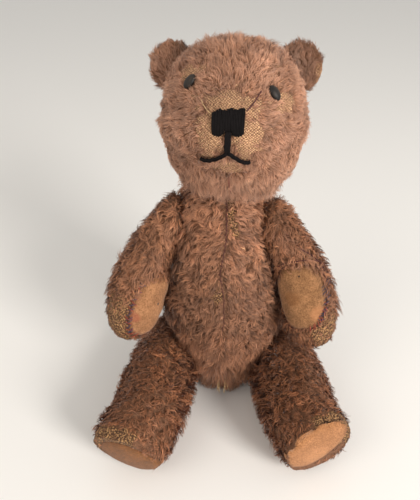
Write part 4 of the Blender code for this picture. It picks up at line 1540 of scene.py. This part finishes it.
def pad_seams(arms, material):
    """The line of sewing round each paw pad, with a second row over the top of the left one."""
    steps = 64
    # side, size against the pad, height off the cloth in mm, and the first and last step round
    rings = (("right", 1.02, 0.9, 0, 64), ("left", 1.02, 0.9, 0, 64), ("left", 1.13, 2.4, 2, 31))
    for index, (side, size, stand, start, end) in enumerate(rings):
        cloth, spot = arms[side]
        route = []
        for k in range(start, end + 1):
            edge = pad_edge(2 * math.pi * k / steps, PAW_PAD[side], size)
            hit, normal = pad_point(cloth.tree, spot, *edge)
            route.append(hit + normal * (stand + 0.25 * math.sin(k * 2.4)) * MM)
        threads(f"{side}_paw_seam_{index}", f"{side}_arm", [route], 0.30 * MM, material)


def mend_pads(arms, dark_blue, brick):
    """Old darning: dark blue and brick red stitches over the torn edges of the paw pads."""
    draw = np.random.default_rng(17)
    # side, thread, the angles it runs between, count, reach over the rim, and slant
    plans = (
        ("right", dark_blue, (2.55, 4.25), 13, 0.09, 0.10),
        ("right", brick, (2.75, 4.55), 9, 0.13, -0.16),
        ("left", dark_blue, (-0.75, 0.25), 10, 0.12, 0.15),
        ("left", brick, (-1.25, -0.35), 9, 0.10, -0.12),
    )
    for index, (side, material, ends, count, reach, slant) in enumerate(plans):
        turns = np.linspace(*ends, count) + draw.uniform(-0.04, 0.04, count)
        routes = stitch_round(*arms[side], PAW_PAD[side], turns, reach, draw, slant)
        threads(f"{side}_paw_mending_{index}", f"{side}_arm", routes, 0.24 * MM, material)


# ---- Stage ------------------------------------------------------------------------------


CAMERA_FROM_NECK = Vector((-0.014, -0.361, 0.183))
# How far down it looks, in degrees
CAMERA_DOWN = 34.7
# What the lights point at
BEAR_MIDDLE = Vector((0, 0, 0.13))


def staged(name, data):
    obj = bpy.data.objects.new(name, data)
    bpy.context.scene.collection.objects.link(obj)
    return obj


def stage_floor():
    form = bmesh.new()
    bmesh.ops.create_grid(form, x_segments=1, y_segments=1, size=3.0)
    mesh = bpy.data.meshes.new("floor")
    form.to_mesh(mesh)
    form.free()
    finish = Finish("pale_floor", 0.9)
    finish.give("Base Color", (0.90, 0.89, 0.87))
    mesh.materials.append(finish.material)
    staged("floor", mesh)


def stage_light(name, place, size, power, colour):
    light = bpy.data.lights.new(name, "AREA")
    light.size, light.energy, light.color = size, power, colour
    obj = staged(name, light)
    obj.location = place
    obj.rotation_euler = (BEAR_MIDDLE - Vector(place)).to_track_quat("-Z", "Y").to_euler()


def stage_world(strength):
    """Soft white light all round, and plain white where the camera, gloss or glass sees past the floor."""
    world = bpy.data.worlds.new("studio")
    world.use_nodes = True
    nodes = Nodes(world.node_tree)
    path = nodes.add("ShaderNodeLightPath").outputs
    seen = path["Is Camera Ray"]
    for other in ("Is Glossy Ray", "Is Transmission Ray"):
        seen = nodes.math("MAXIMUM", seen, path[other])
    level = nodes.add("ShaderNodeMapRange", i0=seen, i3=strength, i4=1.0).outputs[0]
    background = nodes.tree.nodes["Background"].inputs
    nodes.fill(background["Color"], (1.0, 0.975, 0.935))
    nodes.fill(background["Strength"], level)
    bpy.context.scene.world = world


def stage_camera():
    data = bpy.data.cameras.new("camera")
    data.lens, data.sensor_width = 36, 36
    data.clip_start, data.clip_end = 0.02, 20
    camera = staged("camera", data)
    camera.location = joints["neck"] + CAMERA_FROM_NECK
    camera.rotation_euler = (radians(90 - CAMERA_DOWN), 0, 0)
    bpy.context.scene.camera = camera


stage_camera()
stage_floor()
stage_world(strength=0.56)
stage_light("key", (1.05, -1.15, 0.85), size=0.6, power=28.0, colour=(1.0, 0.955, 0.90))
stage_light("fill", (-1.3, -1.0, 1.3), size=1.2, power=9.0, colour=(1.0, 0.90, 0.79))
bpy.context.scene.view_settings.view_transform = "Standard"

cotton = backing_finish("woven_backing", (0.100, 0.046, 0.022), (0.33, 0.178, 0.096), (0.73, 0.468, 0.268), 0.12)
loops = backing_finish("looped_backing", (0.056, 0.023, 0.009), (0.145, 0.068, 0.028), (0.48, 0.275, 0.120), 0.85)
mohair = mohair_finish()
black = thread_finish("black_embroidery_thread", (0.0030, 0.0020, 0.0022), roughness=0.70, gloss=0.12)
seam_thread = thread_finish("old_brown_thread", (0.075, 0.022, 0.020))
red_thread = thread_finish("old_red_thread", (0.170, 0.040, 0.034))
dark_blue = thread_finish("blue_black_darning", (0.035, 0.040, 0.085))
brick = thread_finish("brick_red_darning", (0.300, 0.050, 0.030))
loose = thread_finish("pale_loose_thread", (0.620, 0.430, 0.220))
# Each felt: pale and dark tones, and its stains as place, radius, tone and strength
tan_felt = felt_finish(
    "tan_felt", (0.51, 0.252, 0.122), (0.34, 0.162, 0.076),
    ((0.001, 0.004), 0.0012, (0.05, 0.04, 0.04), 0.8),
    ((-0.012, -0.012), 0.0045, (0.30, 0.075, 0.045), 0.55),
)
olive_felt = felt_finish(
    "olive_felt", (0.40, 0.198, 0.090), (0.24, 0.116, 0.050),
    ((-0.004, 0.000), 0.0065, (0.22, 0.090, 0.030), 0.60),
    ((0.003, 0.018), 0.0008, (0.02, 0.015, 0.012), 0.95),
    ((0.013, -0.014), 0.0060, (0.50, 0.215, 0.095), 0.45),
)
left_sole_felt = felt_finish(
    "left_sole_felt", (0.56, 0.258, 0.112), (0.42, 0.188, 0.078),
    ((0.008, -0.008), 0.0120, (0.62, 0.30, 0.14), 0.22),
    ((-0.010, 0.012), 0.0090, (0.30, 0.130, 0.052), 0.35),
)
# The right sole is painted darker and warmer than the left, as painted shade where it faces down
right_sole_felt_painted_shade = felt_finish(
    "right_sole_felt_painted_shade", (0.30, 0.112, 0.026), (0.20, 0.074, 0.017),
    ((-0.010, -0.012), 0.0090, (0.18, 0.070, 0.022), 0.5),
)
lacquer = eye_finish()

build_torso(loops, mohair, seam_thread, loose)
build_head(cotton, mohair, black, seam_thread, red_thread, lacquer, loose)
paw_felts = {"left": olive_felt, "right": tan_felt}
arms = {side: build_arm(side, loops, mohair, felt, seam_thread) for side, felt in paw_felts.items()}
mend_pads(arms, dark_blue, brick)
pad_seams(arms, seam_thread)
build_leg("left", loops, mohair, left_sole_felt)
build_leg("right", loops, mohair, right_sole_felt_painted_shade)

board = plain_finish("joint_board", (0.22, 0.13, 0.07), (0.36, 0.24, 0.14), roughness=0.75, scale=300.0)
steel = plain_finish(
    "joint_steel", (0.35, 0.34, 0.32), (0.55, 0.54, 0.52), roughness=0.4, scale=500.0, metallic=1.0
)
for name, node in frame["nodes"].items():
    if "_disc_" in name or "_washer_" in name or name.endswith("_split_pin"):
        node.data.materials.clear()
        node.data.materials.append(board if "_disc_" in name else steel)
